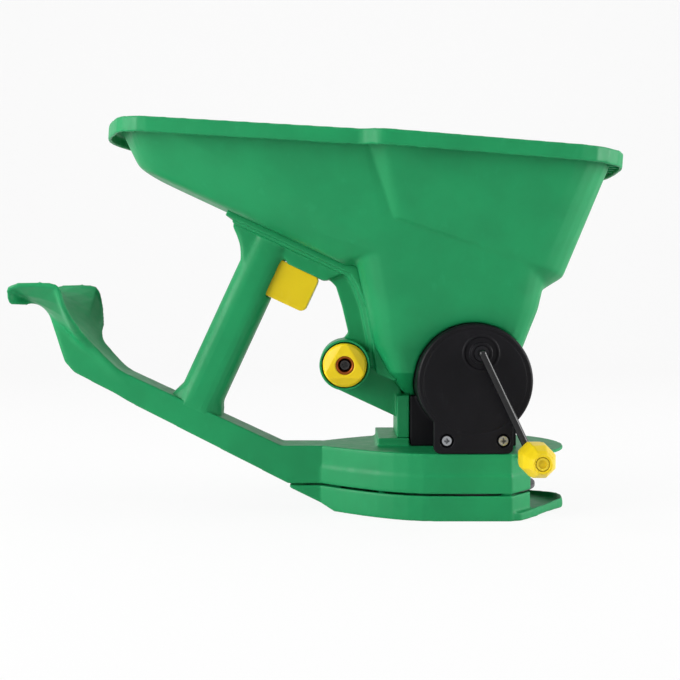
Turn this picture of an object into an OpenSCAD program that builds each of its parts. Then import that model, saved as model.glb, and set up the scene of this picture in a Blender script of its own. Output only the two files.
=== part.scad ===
// Handheld seed spreader with a crank-driven disc and a forearm cradle.
// The origin is on the disc's upright axis, on the ground. +X is the way the seed is thrown,
// the crank faces -Y and +Z is up.

/* [Hopper] */
// Height of the rim's top over the disc's axis
rim_h = 267; // [262:1:272]
// Slope of the rim, down towards the front, in degrees
rim_slope = 4; // [3.5:0.1:4.5]
// Reach of the rim behind the disc's axis
rim_rear = 268; // [265:1:272]
// Reach of the rim ahead of the disc's axis
rim_front = 107; // [104:1:111]
// Half width of the rim at its rear corners
rim_half_rear = 70; // [67:1:73]
// Half width of the rim just ahead of the side step
rim_half_mid = 90; // [87:1:94]
// Half width of the rim at its front corners
rim_half_front = 79; // [76:1:82]
// Depth of the step in each side
side_step = 8; // [6:0.5:10]
// Distance of the side step behind the disc's axis
step_back = 74; // [70:1:78]
// Height of the rim's turned-down skirt
rim_skirt = 11; // [9:0.5:13]
// Thickness of the rim
rim_wall = 2.4; // [2:0.1:3]
// How far the rim stands out from the hopper's wall
rim_overhang = 9; // [7:0.5:11]
// Thickness of the hopper's walls
hopper_wall = 2.6; // [2:0.1:3.2]
// Height of the shoulder crease over the disc's axis
crease_h = 195.5; // [192:0.5:198]
// Slope of the shoulder crease, in degrees
crease_slope = 18.5; // [17.5:0.1:19]
// Half width of the hopper at the shoulder crease
crease_half = 64; // [61:0.5:67]
// Reach of the front ledge ahead of the disc's axis
ledge_front = 68; // [65:0.5:71]
// Width of the shoulder under the crease
shoulder = 6; // [4:0.5:8]

/* [Outlet and gate] */
// Distance of the outlet's middle behind the disc's axis
outlet_back = 34; // [32:0.5:36]
// Distance of the outlet's middle beyond the middle plane
outlet_y = 17; // [16:0.5:18]
// Length of the outlet slot
outlet_len = 6; // [5:0.5:7]
// Width of the outlet slot
outlet_w = 26; // [22:0.5:27]
// Height of the gate's middle plane under the outlet
gate_h = 65.2; // [64:0.2:66]
// Thickness of the gate plate
gate_t = 2; // [1.6:0.1:2.4]

/* [Handle] */
// Slope of the trough floor, the trigger's slide and the beam, in degrees
handle_slope = 25; // [24.5:0.1:25.5]
// Distance of the trigger's front face behind the disc's axis
trigger_back = 118.5; // [117:0.5:120]
// Height of the trigger's middle
trigger_h = 162; // [161:0.5:163]
// Height of the trough floor over the trigger's middle, square to the slope
floor_rise = 30; // [29:0.2:31]
// Thickness of the flange under the hopper
flange_t = 4; // [3:0.2:5]
// Half width of the flange
flange_half = 25; // [24:0.5:28]
// Depth of the grip, front to back
grip_depth = 33; // [31:0.5:35]
// Width of the grip
grip_width = 32; // [30:0.5:34]
// Corner radius of the grip
grip_round = 12; // [9:0.5:14]
// Length of the grip below the trigger's middle, to the beam
grip_drop = 112; // [110:0.5:114]
// Distance from the trigger's front face to the grip
finger_depth = 25; // [23:0.5:27]
// Half thickness of the web
web_half = 10.5; // [10:0.1:12]
// Wall of the handle shells
shell_wall = 2.4; // [2:0.1:2.8]

/* [Trigger] */
// Height of the trigger, along the grip
trigger_len = 29; // [27:0.5:30]
// Width of the trigger
trigger_w = 22; // [20:0.5:24]
// Length of the trigger from its front face into the grip
trigger_depth = 36; // [34:0.5:37]
// Travel of the trigger
trigger_travel = 7; // [5:0.5:7]
// Wire of the return spring
spring_wire = 1; // [0.8:0.1:1.2]
// Outside diameter of the return spring
spring_d = 8.5; // [8:0.1:9.5]
// Curls of the return spring
spring_curls = 7; // [5:1:8]

/* [Dial] */
// Distance of the dial's axis behind the disc's axis
dial_back = 92; // [91:0.5:93]
// Height of the dial's axis
dial_h = 109.5; // [108:0.5:111]
// Radius of the dial
dial_r = 16; // [15:0.5:17]
// Radius of the hole in the dial's face
dial_hole_r = 6.8; // [6:0.2:8]
// Thickness of the dial
dial_t = 13; // [11:0.5:15]
// Distance of the dial's face in front of the middle plane
dial_front = 37; // [35:0.5:39]
// Outside radius of the dial's socket
socket_r = 18.6; // [18.6:0.2:20]

/* [Deck and pan] */
// Height of the deck's top
deck_h = 48; // [46:0.5:50]
// Half width of the deck
deck_half = 57; // [56.5:0.5:60]
// Reach of the deck's nose ahead of the disc's axis
deck_nose = 74; // [71:0.5:77]
// Wall of the deck and the pan
deck_wall = 2.5; // [2:0.1:3]
// Height of the pan's wall
pan_h = 18; // [17:0.5:19]
// Height of the pan's front lip
lip_h = 6; // [5:0.5:8]
// Height of the raised pad under the neck
pad_rise = 6; // [5:0.5:7]
// Half width of the beam
beam_half = 15; // [14:0.5:16]

/* [Cradle] */
// Half width of the cradle's wings
wing_half = 58; // [54:1:62]
// Height of the wing tips
wing_h = 170; // [166:1:174]
// Reach of the cradle behind the disc's axis
cradle_rear = 331; // [326:1:336]
// Thickness of the cradle
cradle_t = 4; // [3:0.2:5]

/* [Gear case] */
// Height of the gear case's axis
case_h = 99.4; // [98.6:0.2:100.4]
// Outside radius of the gear case
case_r = 41; // [40:0.5:42]
// Wall of the gear case
case_wall = 2.5; // [2:0.1:3]
// Distance of the cover's face in front of the middle plane
cover_front = 57; // [56:0.5:59]
// Depth of the cover
cover_depth = 8; // [7:0.5:9]
// Lean of the crank's axis from above the case's axis, in degrees
crank_lean = 11; // [9:0.5:13]
// Teeth of the gear on the crank
crank_teeth = 23; // [21:1:23]
// Teeth of the spur gear on the crown
idler_teeth = 18; // [18:1:20]
// Module of the spur gears
spur_module = 1; // [0.95:0.01:1.02]
// Teeth of the crown gear
crown_teeth = 48; // [46:2:50]
// Teeth of the pinion
pinion_teeth = 12; // [12:1:12]
// Module of the crown gear and the pinion
crown_module = 1.25; // [1.2:0.01:1.25]
// Diameter of the crown's shaft
crown_shaft_d = 5; // [4:0.2:6]
// Diameter of the disc's shaft
spinner_shaft_d = 6; // [5:0.2:6]

/* [Crank] */
// Diameter of the crank rod
crank_d = 5.5; // [5:0.1:6]
// Length of the crank's arm, seen from the front
crank_reach = 76.5; // [74:0.5:79]
// Angle of the crank's arm from straight down, in degrees
crank_angle = 25; // [20:1:30]
// Distance of the arm's knob end in front of the middle plane
crank_front = 72; // [70:0.5:74]
// Length of the knob
knob_len = 38; // [35:0.5:40]
// Largest radius of the knob, across its corners
knob_r = 12.5; // [11:0.5:14]

/* [Disc] */
// Radius of the spreading disc
disc_r = 52.5; // [48:0.5:53]
// Height of the disc's underside
disc_h = 17; // [16.5:0.5:19]
// Thickness of the disc
disc_t = 3; // [2:0.2:4]
// Height of the vanes over the disc
vane_h = 8; // [5:0.5:10]
// Number of vanes
vane_count = 6; // [4:1:8]

/* [Fits] */
// Radial clearance of a running shaft
run_gap = 0.05; // [0.03:0.01:0.08]
// Gap between mouldings that are screwed together
seat_gap = 0.1; // [0.05:0.05:0.2]
// Gap around moving pieces
move_gap = 0.4; // [0.3:0.05:0.5]
// Radius of a screw's shank
screw_r = 1.6; // [1.4:0.1:1.8]

/* [Hidden] */
$fn = 48;

green = [0.14, 0.57, 0.35];
dark_green = [0.11, 0.46, 0.28];
yellow = [0.93, 0.82, 0.10];
black = [0.13, 0.12, 0.14];
grey = [0.30, 0.30, 0.32];
steel = [0.72, 0.73, 0.75];
brass = [0.72, 0.45, 0.20];
ivory = [0.88, 0.86, 0.78];

// Screw heads and holes
head_r = 2.1 * screw_r;
head_t = 1.5 * screw_r;
shank_hole = screw_r + 0.1;
boss_r = 2.6 * screw_r;

// Outlines

function unit(v) = v / norm(v);
function short_turn(d) = d > 180 ? d - 360 : (d < -180 ? d + 360 : d);

// Points of the arc that rounds corner p between its neighbours a and b
function round_corner(a, p, b, r, n) =
    let (
        u = unit(a - p),
        v = unit(b - p),
        half = acos(u * v) / 2,
        centre = p + unit(u + v) * r / sin(half),
        first = p + u * r / tan(half) - centre,
        last = p + v * r / tan(half) - centre,
        start = atan2(first[1], first[0]),
        turn = short_turn(atan2(last[1], last[0]) - start)
    )
    [for (k = [0 : n]) centre + r * [cos(start + turn * k / n), sin(start + turn * k / n)]];

// Closed outline from corners [x, y, radius]
function rounded(c, n = 5) =
    let (m = len(c))
    [for (i = [0 : m - 1])
        let (a = c[(i + m - 1) % m], p = c[i], b = c[(i + 1) % m])
        each round_corner([a[0], a[1]], [p[0], p[1]], [b[0], b[1]], p[2], n)];

// Corners of an outline that is the same on both sides of the middle plane.
// The first and last corner lie on the plane, the others on its near side.
function both_sides(half) =
    concat(half, [for (i = [len(half) - 2 : -1 : 1]) [half[i][0], -half[i][1], half[i][2]]]);

function box_outline(x0, x1, y0, y1, r) =
    rounded([[x0, y0, r], [x1, y0, r], [x1, y1, r], [x0, y1, r]]);

// Extrusion of an outline drawn in X and Z, from y0 to y1
module along_y(y0, y1) {
    translate([0, y1, 0]) rotate([90, 0, 0]) linear_extrude(y1 - y0) children();
}

// Cylinder along Y
module rod_y(r, y0, y1, x = 0, z = 0) {
    translate([x, y1, z]) rotate([90, 0, 0]) cylinder(r = r, h = y1 - y0);
}

module tube_y(r, bore, y0, y1, x = 0, z = 0) {
    difference() {
        rod_y(r, y0, y1, x, z);
        rod_y(bore, y0 - 1, y1 + 1, x, z);
    }
}

module tube_z(r, bore, z0, z1) {
    difference() {
        translate([0, 0, z0]) cylinder(r = r, h = z1 - z0);
        translate([0, 0, z0 - 1]) cylinder(r = bore, h = z1 - z0 + 2);
    }
}

module box(low, high) {
    translate(low) cube(high - low);
}

// Screw along +Z whose head sits under z = 0
module screw(length) {
    difference() {
        union() {
            translate([0, 0, -head_t]) cylinder(r = head_r, h = head_t);
            cylinder(r = screw_r, h = length);
        }
        for (a = [0, 90])
            rotate([0, 0, a]) box([-head_r * 0.6, -0.3, -head_t - 1], [head_r * 0.6, 0.3, -head_t / 2]);
    }
}

// The handle's own frame: x runs down the slope, z square to it, from the trigger's front face
hand_x = -trigger_back;
hand_z = trigger_h;
module in_handle() {
    translate([hand_x, 0, hand_z]) rotate([0, handle_slope, 0]) children();
}
function to_handle_x(x, z) = (x - hand_x) * cos(handle_slope) - (z - hand_z) * sin(handle_slope);
function to_handle_z(x, z) = (x - hand_x) * sin(handle_slope) + (z - hand_z) * cos(handle_slope);

// Hopper shape
step_run = 14;
rear_bow = 5;
front_bow = 3;
rear_corner = 21;
front_corner = 5;
front_overhang = 0.65 * rim_overhang;
rim_plan = rounded(both_sides([
    [-rim_rear - rear_bow, 0, 80],
    [-rim_rear + rear_corner, -rim_half_rear, 30],
    [-step_back - step_run / 2, -rim_half_mid + side_step, 14],
    [-step_back + step_run / 2, -rim_half_mid, 14],
    [rim_front - front_corner, -rim_half_front, 40],
    [rim_front + front_bow, 0, 220]
]));
// The wall's top lies this far under the rim's top
rim_sink = 1;
funnel_front = 57;
wall_half_rear = rim_half_rear - rim_overhang;
wall_half_mid = rim_half_mid - rim_overhang;
trough_half = wall_half_mid - side_step;
step_rear = -step_back - step_run / 2;
step_front = -step_back + step_run / 2;
// Upper front box, at the rim and at the shoulder crease
box_plan = rounded(both_sides([
    [step_rear - 20, 0, 10],
    [step_rear, -trough_half + 3, 2],
    [step_front, -wall_half_mid, 14],
    [rim_front - front_corner - front_overhang, -rim_half_front + rim_overhang, 32],
    [rim_front + front_bow - front_overhang, 0, 200]
]));
crease_plan = rounded(both_sides([
    [step_rear, 0, 10],
    [step_rear + 12, -crease_half + side_step, 2],
    [step_front + 12, -crease_half, 14],
    [ledge_front - front_corner, -crease_half + 10, 28],
    [ledge_front + front_bow, 0, 130]
]));
// Mouth of the trough, at the rim
mouth_plan = rounded(both_sides([
    [-rim_rear - rear_bow + rim_overhang, 0, 70],
    [-rim_rear + rear_corner + 0.6 * rim_overhang, -wall_half_rear, 24],
    [step_rear, -trough_half, 20],
    [funnel_front + shoulder, -crease_half - 2, 30],
    [funnel_front + shoulder + front_bow, 0, 200]
]));
// The trough floor, as the height of its plane over the disc's axis
floor_h = hand_z + floor_rise / cos(handle_slope) - trigger_back * tan(handle_slope);
floor_rear = rim_rear - 27;
floor_front = 92;
floor_plan = rounded(both_sides([
    [-floor_rear - 2, 0, 40],
    [-floor_rear, -45, 20],
    [-floor_front, -38, 12],
    [-floor_front + 2, 0, 60]
]));
outlet_x = -outlet_back;
outlet_half_l = outlet_len / 2;
outlet_half_w = outlet_w / 2;
spout_half_l = outlet_half_l + hopper_wall;
spout_half_w = outlet_half_w + hopper_wall;
spout_h = gate_h + 11;
// Level sections of the funnel: height, rear, front, near side, far side, corner radius
shoulder_section = [190, -85, funnel_front, shoulder - crease_half + 1, crease_half - shoulder - 1, 24];
funnel = [
    shoulder_section,
    [150, -76, 49, -50, 50, 22],
    [123, -70, 39, -43, 43, 18],
    [104, -60, 32, -36, 36, 14],
    [86, -50, 24, 12, 33, 6]
];

// Thin plate on a plane that slopes down towards the front
module slope_plate(h, slope, t = 0.2) {
    multmatrix([[1, 0, 0, 0], [0, 1, 0, 0], [-tan(slope), 0, 1, h], [0, 0, 0, 1]])
        linear_extrude(t) children();
}

module level_plate(section, grow) {
    translate([0, 0, section[0]]) linear_extrude(0.2) offset(delta = grow)
        polygon(box_outline(section[1], section[2], section[3], section[4], section[5]));
}

// Each part of the hopper's form, grown outwards by grow
module hopper_top(grow, open = 0) {
    hull() {
        slope_plate(rim_h - rim_sink, rim_slope, 0.2 + open) offset(delta = grow) polygon(box_plan);
        slope_plate(crease_h - grow, crease_slope) offset(delta = grow) polygon(crease_plan);
    }
}
module hopper_trough(grow, open = 0) {
    hull() {
        slope_plate(rim_h - rim_sink, rim_slope, 0.2 + open) offset(delta = grow) polygon(mouth_plan);
        slope_plate(floor_h - grow / cos(handle_slope), handle_slope)
            offset(delta = grow) polygon(floor_plan);
        level_plate(shoulder_section, grow);
    }
}
module hopper_funnel(grow) {
    hull() {
        for (s = funnel) level_plate(s, grow);
        translate([outlet_x, outlet_y, spout_h - (grow < 0 ? 1 : 0)]) linear_extrude(0.2)
            square([2 * (spout_half_l + grow), 2 * (spout_half_w + grow)], center = true);
    }
}

module rim() {
    lean = cos(rim_slope);
    plan = [for (p = rim_plan) [p[0] / lean, p[1]]];
    translate([0, 0, rim_h]) rotate([0, rim_slope, 0]) translate([0, 0, -rim_skirt]) {
        linear_extrude(rim_skirt) difference() {
            polygon(plan);
            offset(delta = -rim_wall) polygon(plan);
        }
        translate([0, 0, rim_skirt - rim_wall]) linear_extrude(rim_wall) difference() {
            polygon(plan);
            offset(delta = -rim_overhang - hopper_wall / 2) polygon(plan);
        }
    }
}

// Room for the gear case and its pinion pod in the hopper's side
pocket_gap = 0.5;
pocket_r = case_r + pocket_gap;
case_back = -3;
pod_half = 12.5;
pod_far = 12.5;
pinion_r = crown_module * pinion_teeth / 2;
crown_r = crown_module * crown_teeth / 2;
pinion_h = case_h - crown_r;
pod_top = pinion_h + 11.2;
lining_y = case_back + pocket_gap;

module gear_pocket(grow) {
    rod_y(pocket_r + grow, -cover_front - 20, lining_y + grow, 0, case_h);
    box([-pod_half - pocket_gap - grow, -25, pod_top - 60],
        [pod_half + pocket_gap + grow, pod_far + pocket_gap + grow, pod_top + pocket_gap + grow]);
}

hopper_screw_at = [[-50, 20.5], [-18, 19], [8, 19]];
module at_hopper_screws() {
    in_handle() for (p = hopper_screw_at)
        translate([p[0], p[1], floor_rise - flange_t - seat_gap]) children();
}

module hopper() {
    color(green) difference() {
        union() {
            difference() {
                union() {
                    hopper_top(0);
                    hopper_trough(0);
                    hopper_funnel(0);
                }
                hopper_top(-hopper_wall, 30);
                hopper_trough(-hopper_wall, 30);
                hopper_funnel(-hopper_wall);
            }
            rim();
            // Walls of the gear pocket, inside the funnel
            intersection() {
                gear_pocket(hopper_wall);
                hopper_funnel(-0.4);
            }
            // Spout down to the gate
            box([outlet_x - spout_half_l, outlet_y - spout_half_w, gate_h - 4],
                [outlet_x + spout_half_l, outlet_y + spout_half_w, spout_h + 2]);
            // Bosses for the flange's screws
            at_hopper_screws() translate([0, 0, flange_t + seat_gap + 1]) cylinder(r = boss_r, h = 9);
        }
        gear_pocket(0);
        box([outlet_x - outlet_half_l, outlet_y - outlet_half_w, gate_h - 10],
            [outlet_x + outlet_half_l, outlet_y + outlet_half_w, spout_h + 6]);
        // The spout ends just over the gate
        in_handle() box([gate_x - 40, -60, gate_z - 30],
            [gate_x + 40, 80, gate_z + gate_t / 2 + move_gap]);
        rod_y(crown_shaft_d / 2 + 0.3, -20, 20, 0, case_h);
        at_hopper_screws() cylinder(r = shank_hole, h = 12);
    }
}

// Gate, rod and trigger slide along the slope together
gate_x = to_handle_x(outlet_x, gate_h);
gate_z = to_handle_z(outlet_x, gate_h);
tail_w = 5;
tail_y = 3;
rod_t = 3;
rod_y0 = tail_y + (tail_w - rod_t) / 2;
gate_cover = outlet_half_l / cos(handle_slope) + 1.5;
gate_w = outlet_w + 2;
rod_foot_x = 69;
rod_foot_w = 6;

module gate_plate() {
    color(steel) in_handle() difference() {
        union() {
            box([gate_x - gate_cover, outlet_y - gate_w / 2, gate_z - gate_t / 2],
                [gate_x + gate_cover, outlet_y + gate_w / 2, gate_z + gate_t / 2]);
            box([rod_foot_x - 4, tail_y, gate_z - gate_t / 2],
                [gate_x, tail_y + tail_w, gate_z + gate_t / 2]);
        }
        box([rod_foot_x + 1, rod_y0 - seat_gap, gate_z - gate_t],
            [rod_foot_x + rod_foot_w - 1, rod_y0 + rod_t + seat_gap, gate_z + gate_t]);
    }
}

// Outline of the rod in the handle's frame: a bar over the trigger, then a limb down to the gate
bar_low = trigger_len / 2 + 4;
bar_high = bar_low + 4;
stem_x = -7;
stem_w = 5;
module trigger_rod() {
    seat = gate_z + gate_t / 2 + seat_gap;
    color(steel) in_handle() {
        along_y(rod_y0, rod_y0 + rod_t) polygon([
            [stem_x - 4, bar_low], [20, bar_low], [32.3, 7], [50, -13.5], [61, -36],
            [rod_foot_x, seat], [rod_foot_x + 1 + seat_gap, seat],
            [rod_foot_x + 1 + seat_gap, gate_z - gate_t / 2],
            [rod_foot_x + rod_foot_w - 1 - seat_gap, gate_z - gate_t / 2],
            [rod_foot_x + rod_foot_w - 1 - seat_gap, seat], [rod_foot_x + rod_foot_w, seat],
            [66, -36], [54, -12], [36.5, 9], [24, bar_high], [stem_x - 4, bar_high]
        ]);
    }
}

trigger_wall = 2.4;
trigger_nose = 2.5;
trigger_low = -trigger_len / 2 - 0.5;
trigger_top = trigger_len / 2 - 0.5;
spring_peg_r = spring_d / 2 - spring_wire - 0.5;
spring_peg = 4;
module trigger() {
    color(yellow) in_handle() {
        difference() {
            along_y(-trigger_w / 2, trigger_w / 2)
                polygon(box_outline(-trigger_depth, trigger_nose, trigger_low, trigger_top, 4.5));
            // Hollow from behind
            box([-trigger_depth - 1, -trigger_w / 2 + trigger_wall, trigger_low + trigger_wall],
                [-11, trigger_w / 2 - trigger_wall, trigger_top - trigger_wall]);
        }
        // Cross wall that carries the spring
        box([-spring_seat - trigger_wall, -trigger_w / 2 + 2, trigger_low + 2],
            [-spring_seat, trigger_w / 2 - 2, trigger_top - 2]);
        translate([-spring_seat - trigger_wall, 0, 0]) rotate([0, -90, 0])
            cylinder(r = spring_peg_r, h = spring_peg);
        // Stem that carries the rod
        difference() {
            box([stem_x - stem_w / 2, rod_y0 - 3, trigger_top - 1],
                [stem_x + stem_w / 2, rod_y0 + rod_t + 3, bar_high + 1.5]);
            box([stem_x - stem_w, rod_y0 - seat_gap, bar_low - seat_gap],
                [stem_x + stem_w, rod_y0 + rod_t + seat_gap, bar_high + seat_gap]);
        }
    }
}

// Return spring: one tube wound from the trigger's cross wall to the grip's rear wall
spring_seat = 24;
spring_front = -spring_seat - trigger_wall - 0.2;
spring_rear = -finger_depth - grip_depth + shell_wall + 0.2;
spring_r = (spring_d - spring_wire) / 2;
spring_rings = 8;
spring_sides = 6;
spring_steps = spring_curls * spring_rings;
spring_run = spring_front - spring_rear - spring_wire;
function spring_centre(k) =
    let (a = 360 * k / spring_rings)
    [spring_rear + spring_wire / 2 + spring_run * k / spring_steps, spring_r * cos(a), spring_r * sin(a)];
function spring_point(k, j) =
    let (a = 360 * k / spring_rings, b = 360 * j / spring_sides, w = spring_wire / 2)
    spring_centre(k) + w * cos(b) * [0, cos(a), sin(a)] + w * sin(b) * [1, 0, 0];
// Least gap of the spring to itself, one curl on
echo(spring_gap = min([for (k = [0 : spring_steps - spring_rings])
    norm(spring_centre(k + spring_rings) - spring_centre(k)) - spring_wire]));

module trigger_spring() {
    n = spring_sides;
    last = spring_steps * n;
    points = [for (k = [0 : spring_steps], j = [0 : n - 1]) spring_point(k, j)];
    sides = [for (k = [0 : spring_steps - 1], j = [0 : n - 1])
        let (a = k * n + j, b = k * n + (j + 1) % n)
        each [[a, b, a + n], [b, b + n, a + n]]];
    caps = [for (j = [1 : n - 2]) each [[0, j + 1, j], [last, last + j, last + j + 1]]];
    color(steel) in_handle() polyhedron(points, concat(sides, caps), convexity = 10);
}

// Handle shells
web_wall = 1.8;
arm_low = trigger_len / 2 + 0.7;
flange_low = floor_rise - flange_t - seat_gap;
dial_x = to_handle_x(-dial_back, dial_h);
dial_z = to_handle_z(-dial_back, dial_h);
lower_arm = gate_z - 4.4;
neck_rear = -53;
neck_front = -17;
neck_far = outlet_y + outlet_half_w + hopper_wall + shell_wall + 1.2;
pad_top = deck_h + pad_rise;
foot_x0 = -43;
foot_x1 = 36;
foot_y0 = -17;
neck_low_x = to_handle_x(neck_rear + 1, 71);

// The web in the handle's frame, from the grip round to the neck
web_outline = [
    [-finger_depth - 6, arm_low], [10.7, arm_low], [15.8, 13.2], [26.3, 1.6], [39, -14.5], [34, dial_z],
    [44, lower_arm], [neck_low_x, lower_arm], [neck_low_x, gate_z + 10], [78, -26],
    [55.7, -9.9], [42.2, 8.6], [30.9, 20.2], [23, flange_low + 0.8], [-finger_depth - 6, flange_low + 0.8]
];
flange_rear = -79.5;
flange_outline = [
    [flange_rear, flange_low], [22, flange_low], [30.2, 20.2], [41.4, 8.6], [55, -9.9], [70, -32], [86, -32],
    [70, 10], [30, floor_rise + 10], [flange_rear, floor_rise + 10]
];
// Narrower step under the flange
step_low = flange_low - 2.5;
step_half = flange_half - 3.5;
step_rear_x = flange_rear + 6;
step_outline = [
    [step_rear_x, step_low], [20.4, step_low], [28.2, 18], [39.2, 6.8], [52.6, -11.5], [66, -31], [86, -31],
    [70, 10], [30, floor_rise], [step_rear_x, floor_rise]
];
// Gusset behind the grip, under the flange
grip_rear = -finger_depth - grip_depth;
gusset_outline = [
    [step_rear_x + 0.5, step_low + 1], [step_rear_x + 1, step_low - 2.8], [step_rear_x + 6, step_low - 6.9],
    [grip_rear - 4.3, step_low - 12.5], [grip_rear - 1.2, step_low - 18], [grip_rear + 1.5, step_low - 24],
    [grip_rear + 13, step_low - 24], [grip_rear + 13, step_low + 1]
];
gusset_half = 13.5;
// Thicker top of the web, over the trigger
arm_half = 14;
arm_outline = [
    [-finger_depth - 6, arm_low], [9, arm_low], [16, step_low], [16, flange_low],
    [-finger_depth - 6, flange_low]
];

module grip_bar(inset, z0, z1) {
    h = z1 - z0;
    translate([0, 0, z0]) linear_extrude(h) polygon(box_outline(
        -finger_depth - grip_depth + inset, -finger_depth - inset,
        -grip_width / 2 + inset, grip_width / 2 - inset, max(grip_round - inset, 1)));
}

handle_screw_at = [-88, -40];
foot_screw_y = 8;
grip_mid = -finger_depth - grip_depth / 2;
module handle_bosses() {
    in_handle() {
        for (z = handle_screw_at)
            rod_y(boss_r, -grip_width / 2 + 1, grip_width / 2 - 1, grip_mid, z);
        for (y = [-foot_screw_y, foot_screw_y])
            translate([grip_mid, y, -grip_drop + seat_gap]) cylinder(r = boss_r + 2, h = 16);
    }
}

module handle_body() {
    difference() {
        union() {
            in_handle() {
                difference() {
                    union() {
                        grip_bar(0, -grip_drop + seat_gap, flange_low + 1);
                        along_y(-web_half, web_half) polygon(web_outline);
                        along_y(-flange_half, flange_half) polygon(flange_outline);
                        along_y(-step_half, step_half) polygon(step_outline);
                        along_y(-gusset_half, gusset_half) polygon(gusset_outline);
                        along_y(-arm_half, arm_half) polygon(arm_outline);
                        rod_y(socket_r, -web_half, web_half, dial_x, dial_z);
                    }
                    grip_bar(shell_wall, -grip_drop - 1, flange_low - shell_wall);
                    along_y(-web_half + shell_wall, web_half - shell_wall)
                        offset(delta = -web_wall) polygon(web_outline);
                    rod_y(12.5, -web_half + shell_wall, web_half - shell_wall, dial_x, dial_z);
                    // Opening for the trigger in the grip's front and for its stem in the arm
                    box([-finger_depth - 9, -trigger_w / 2 - move_gap, trigger_low - move_gap],
                        [-finger_depth + 4, trigger_w / 2 + move_gap, trigger_top + move_gap]);
                    box([stem_x - stem_w / 2 - trigger_travel - 1, rod_y0 - 3 - move_gap, arm_low - 2],
                        [stem_x + stem_w / 2 + 1, rod_y0 + rod_t + 3 + move_gap, bar_high + 1.5 + move_gap]);
                    // Way from the arm into the grip for the rod's bar
                    box([-finger_depth - 8, rod_y0 - 1, bar_low - 1],
                        [-finger_depth + 8, rod_y0 + rod_t + 1, bar_high + 1]);
                }
                // Peg that carries the spring
                translate([-finger_depth - grip_depth + 1, 0, 0]) rotate([0, 90, 0])
                    cylinder(r = spring_peg_r, h = shell_wall + spring_peg - 1);
            }
            handle_bosses();
        }
        hopper_trough(seat_gap * 2);
        hopper_funnel(seat_gap * 2);
        at_hopper_screws() translate([0, 0, -1]) cylinder(r = shank_hole, h = 9);
        at_hopper_screws() translate([0, 0, -5]) cylinder(r = head_r + 0.4, h = 5);
        in_handle() {
            for (z = handle_screw_at) rod_y(shank_hole, -grip_width / 2 + 4, grip_width, grip_mid, z);
            for (z = handle_screw_at) rod_y(head_r + 0.4, grip_width / 2 - 5, grip_width, grip_mid, z);
            for (y = [-foot_screw_y, foot_screw_y])
                translate([grip_mid, y, -grip_drop - 1]) cylinder(r = shank_hole, h = 16);
        }
    }
}

// The half of space on the near side (-1) or the far side (1)
module half_space(side) {
    y0 = side < 0 ? -200 : seat_gap / 2;
    box([-300, y0, 0], [100, y0 + 200 - seat_gap / 2, 300]);
}

// Bore, front to back, for the dial's shaft, and the socket in front of it
dial_shaft_r = 5;
module dial_socket() {
    in_handle() tube_y(socket_r, dial_r + move_gap + 0.4, -dial_front + 4, -web_half, dial_x, dial_z);
}

module neck_near() {
    box([neck_rear, foot_y0 + 1, pad_top + seat_gap], [foot_x0 - seat_gap * 4, 0, 86]);
}

lug = 9;
module neck_far_side() {
    difference() {
        union() {
            box([neck_rear, 0, pad_top + seat_gap], [neck_front, neck_far, 86]);
            box([neck_rear + 4, neck_far - 1, pad_top + seat_gap],
                [neck_rear + 4 + lug, neck_far + lug, pad_top + 7]);
        }
        box([neck_rear + shell_wall, shell_wall, pad_top - 1],
            [neck_front - shell_wall, neck_far - shell_wall, 90]);
    }
}

neck_screw_at = [
    [(neck_rear + foot_x0) / 2, foot_y0 / 2],
    [neck_rear + 4 + lug / 2, neck_far + lug / 2]
];
module neck_screw_holes(r) {
    for (p = neck_screw_at) translate([p[0], p[1], deck_h - 10]) cylinder(r = r, h = 29);
}

module neck_cuts() {
    hopper_funnel(seat_gap * 2);
    hopper_trough(seat_gap * 2);
    rod_y(pocket_r + hopper_wall + move_gap, -cover_front, lining_y + hopper_wall + move_gap, 0, case_h);
    neck_screw_holes(shank_hole);
    // Room for the spout
    box([outlet_x - spout_half_l - move_gap, outlet_y - spout_half_w - seat_gap, gate_h - 10],
        [outlet_x + spout_half_l + move_gap, outlet_y + spout_half_w + seat_gap, spout_h + 20]);
    // Slot for the gate's tail
    in_handle() box([rod_foot_x, tail_y - move_gap, gate_z - gate_t / 2 - move_gap],
        [gate_x, tail_y + tail_w + move_gap, gate_z + gate_t / 2 + move_gap]);
}

module handle_left_shell() {
    color(dark_green) intersection() {
        difference() {
            union() {
                handle_body();
                dial_socket();
                difference() {
                    neck_near();
                    neck_cuts();
                }
            }
            in_handle() rod_y(dial_shaft_r + run_gap, -web_half - 1, 0, dial_x, dial_z);
        }
        half_space(-1);
    }
}

module handle_right_shell() {
    color(dark_green) intersection() {
        union() {
            difference() {
                handle_body();
                box([neck_rear + shell_wall, 0, pad_top], [neck_front, neck_far, 88]);
                neck_cuts();
            }
            difference() {
                neck_far_side();
                neck_cuts();
            }
        }
        half_space(1);
    }
}

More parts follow.
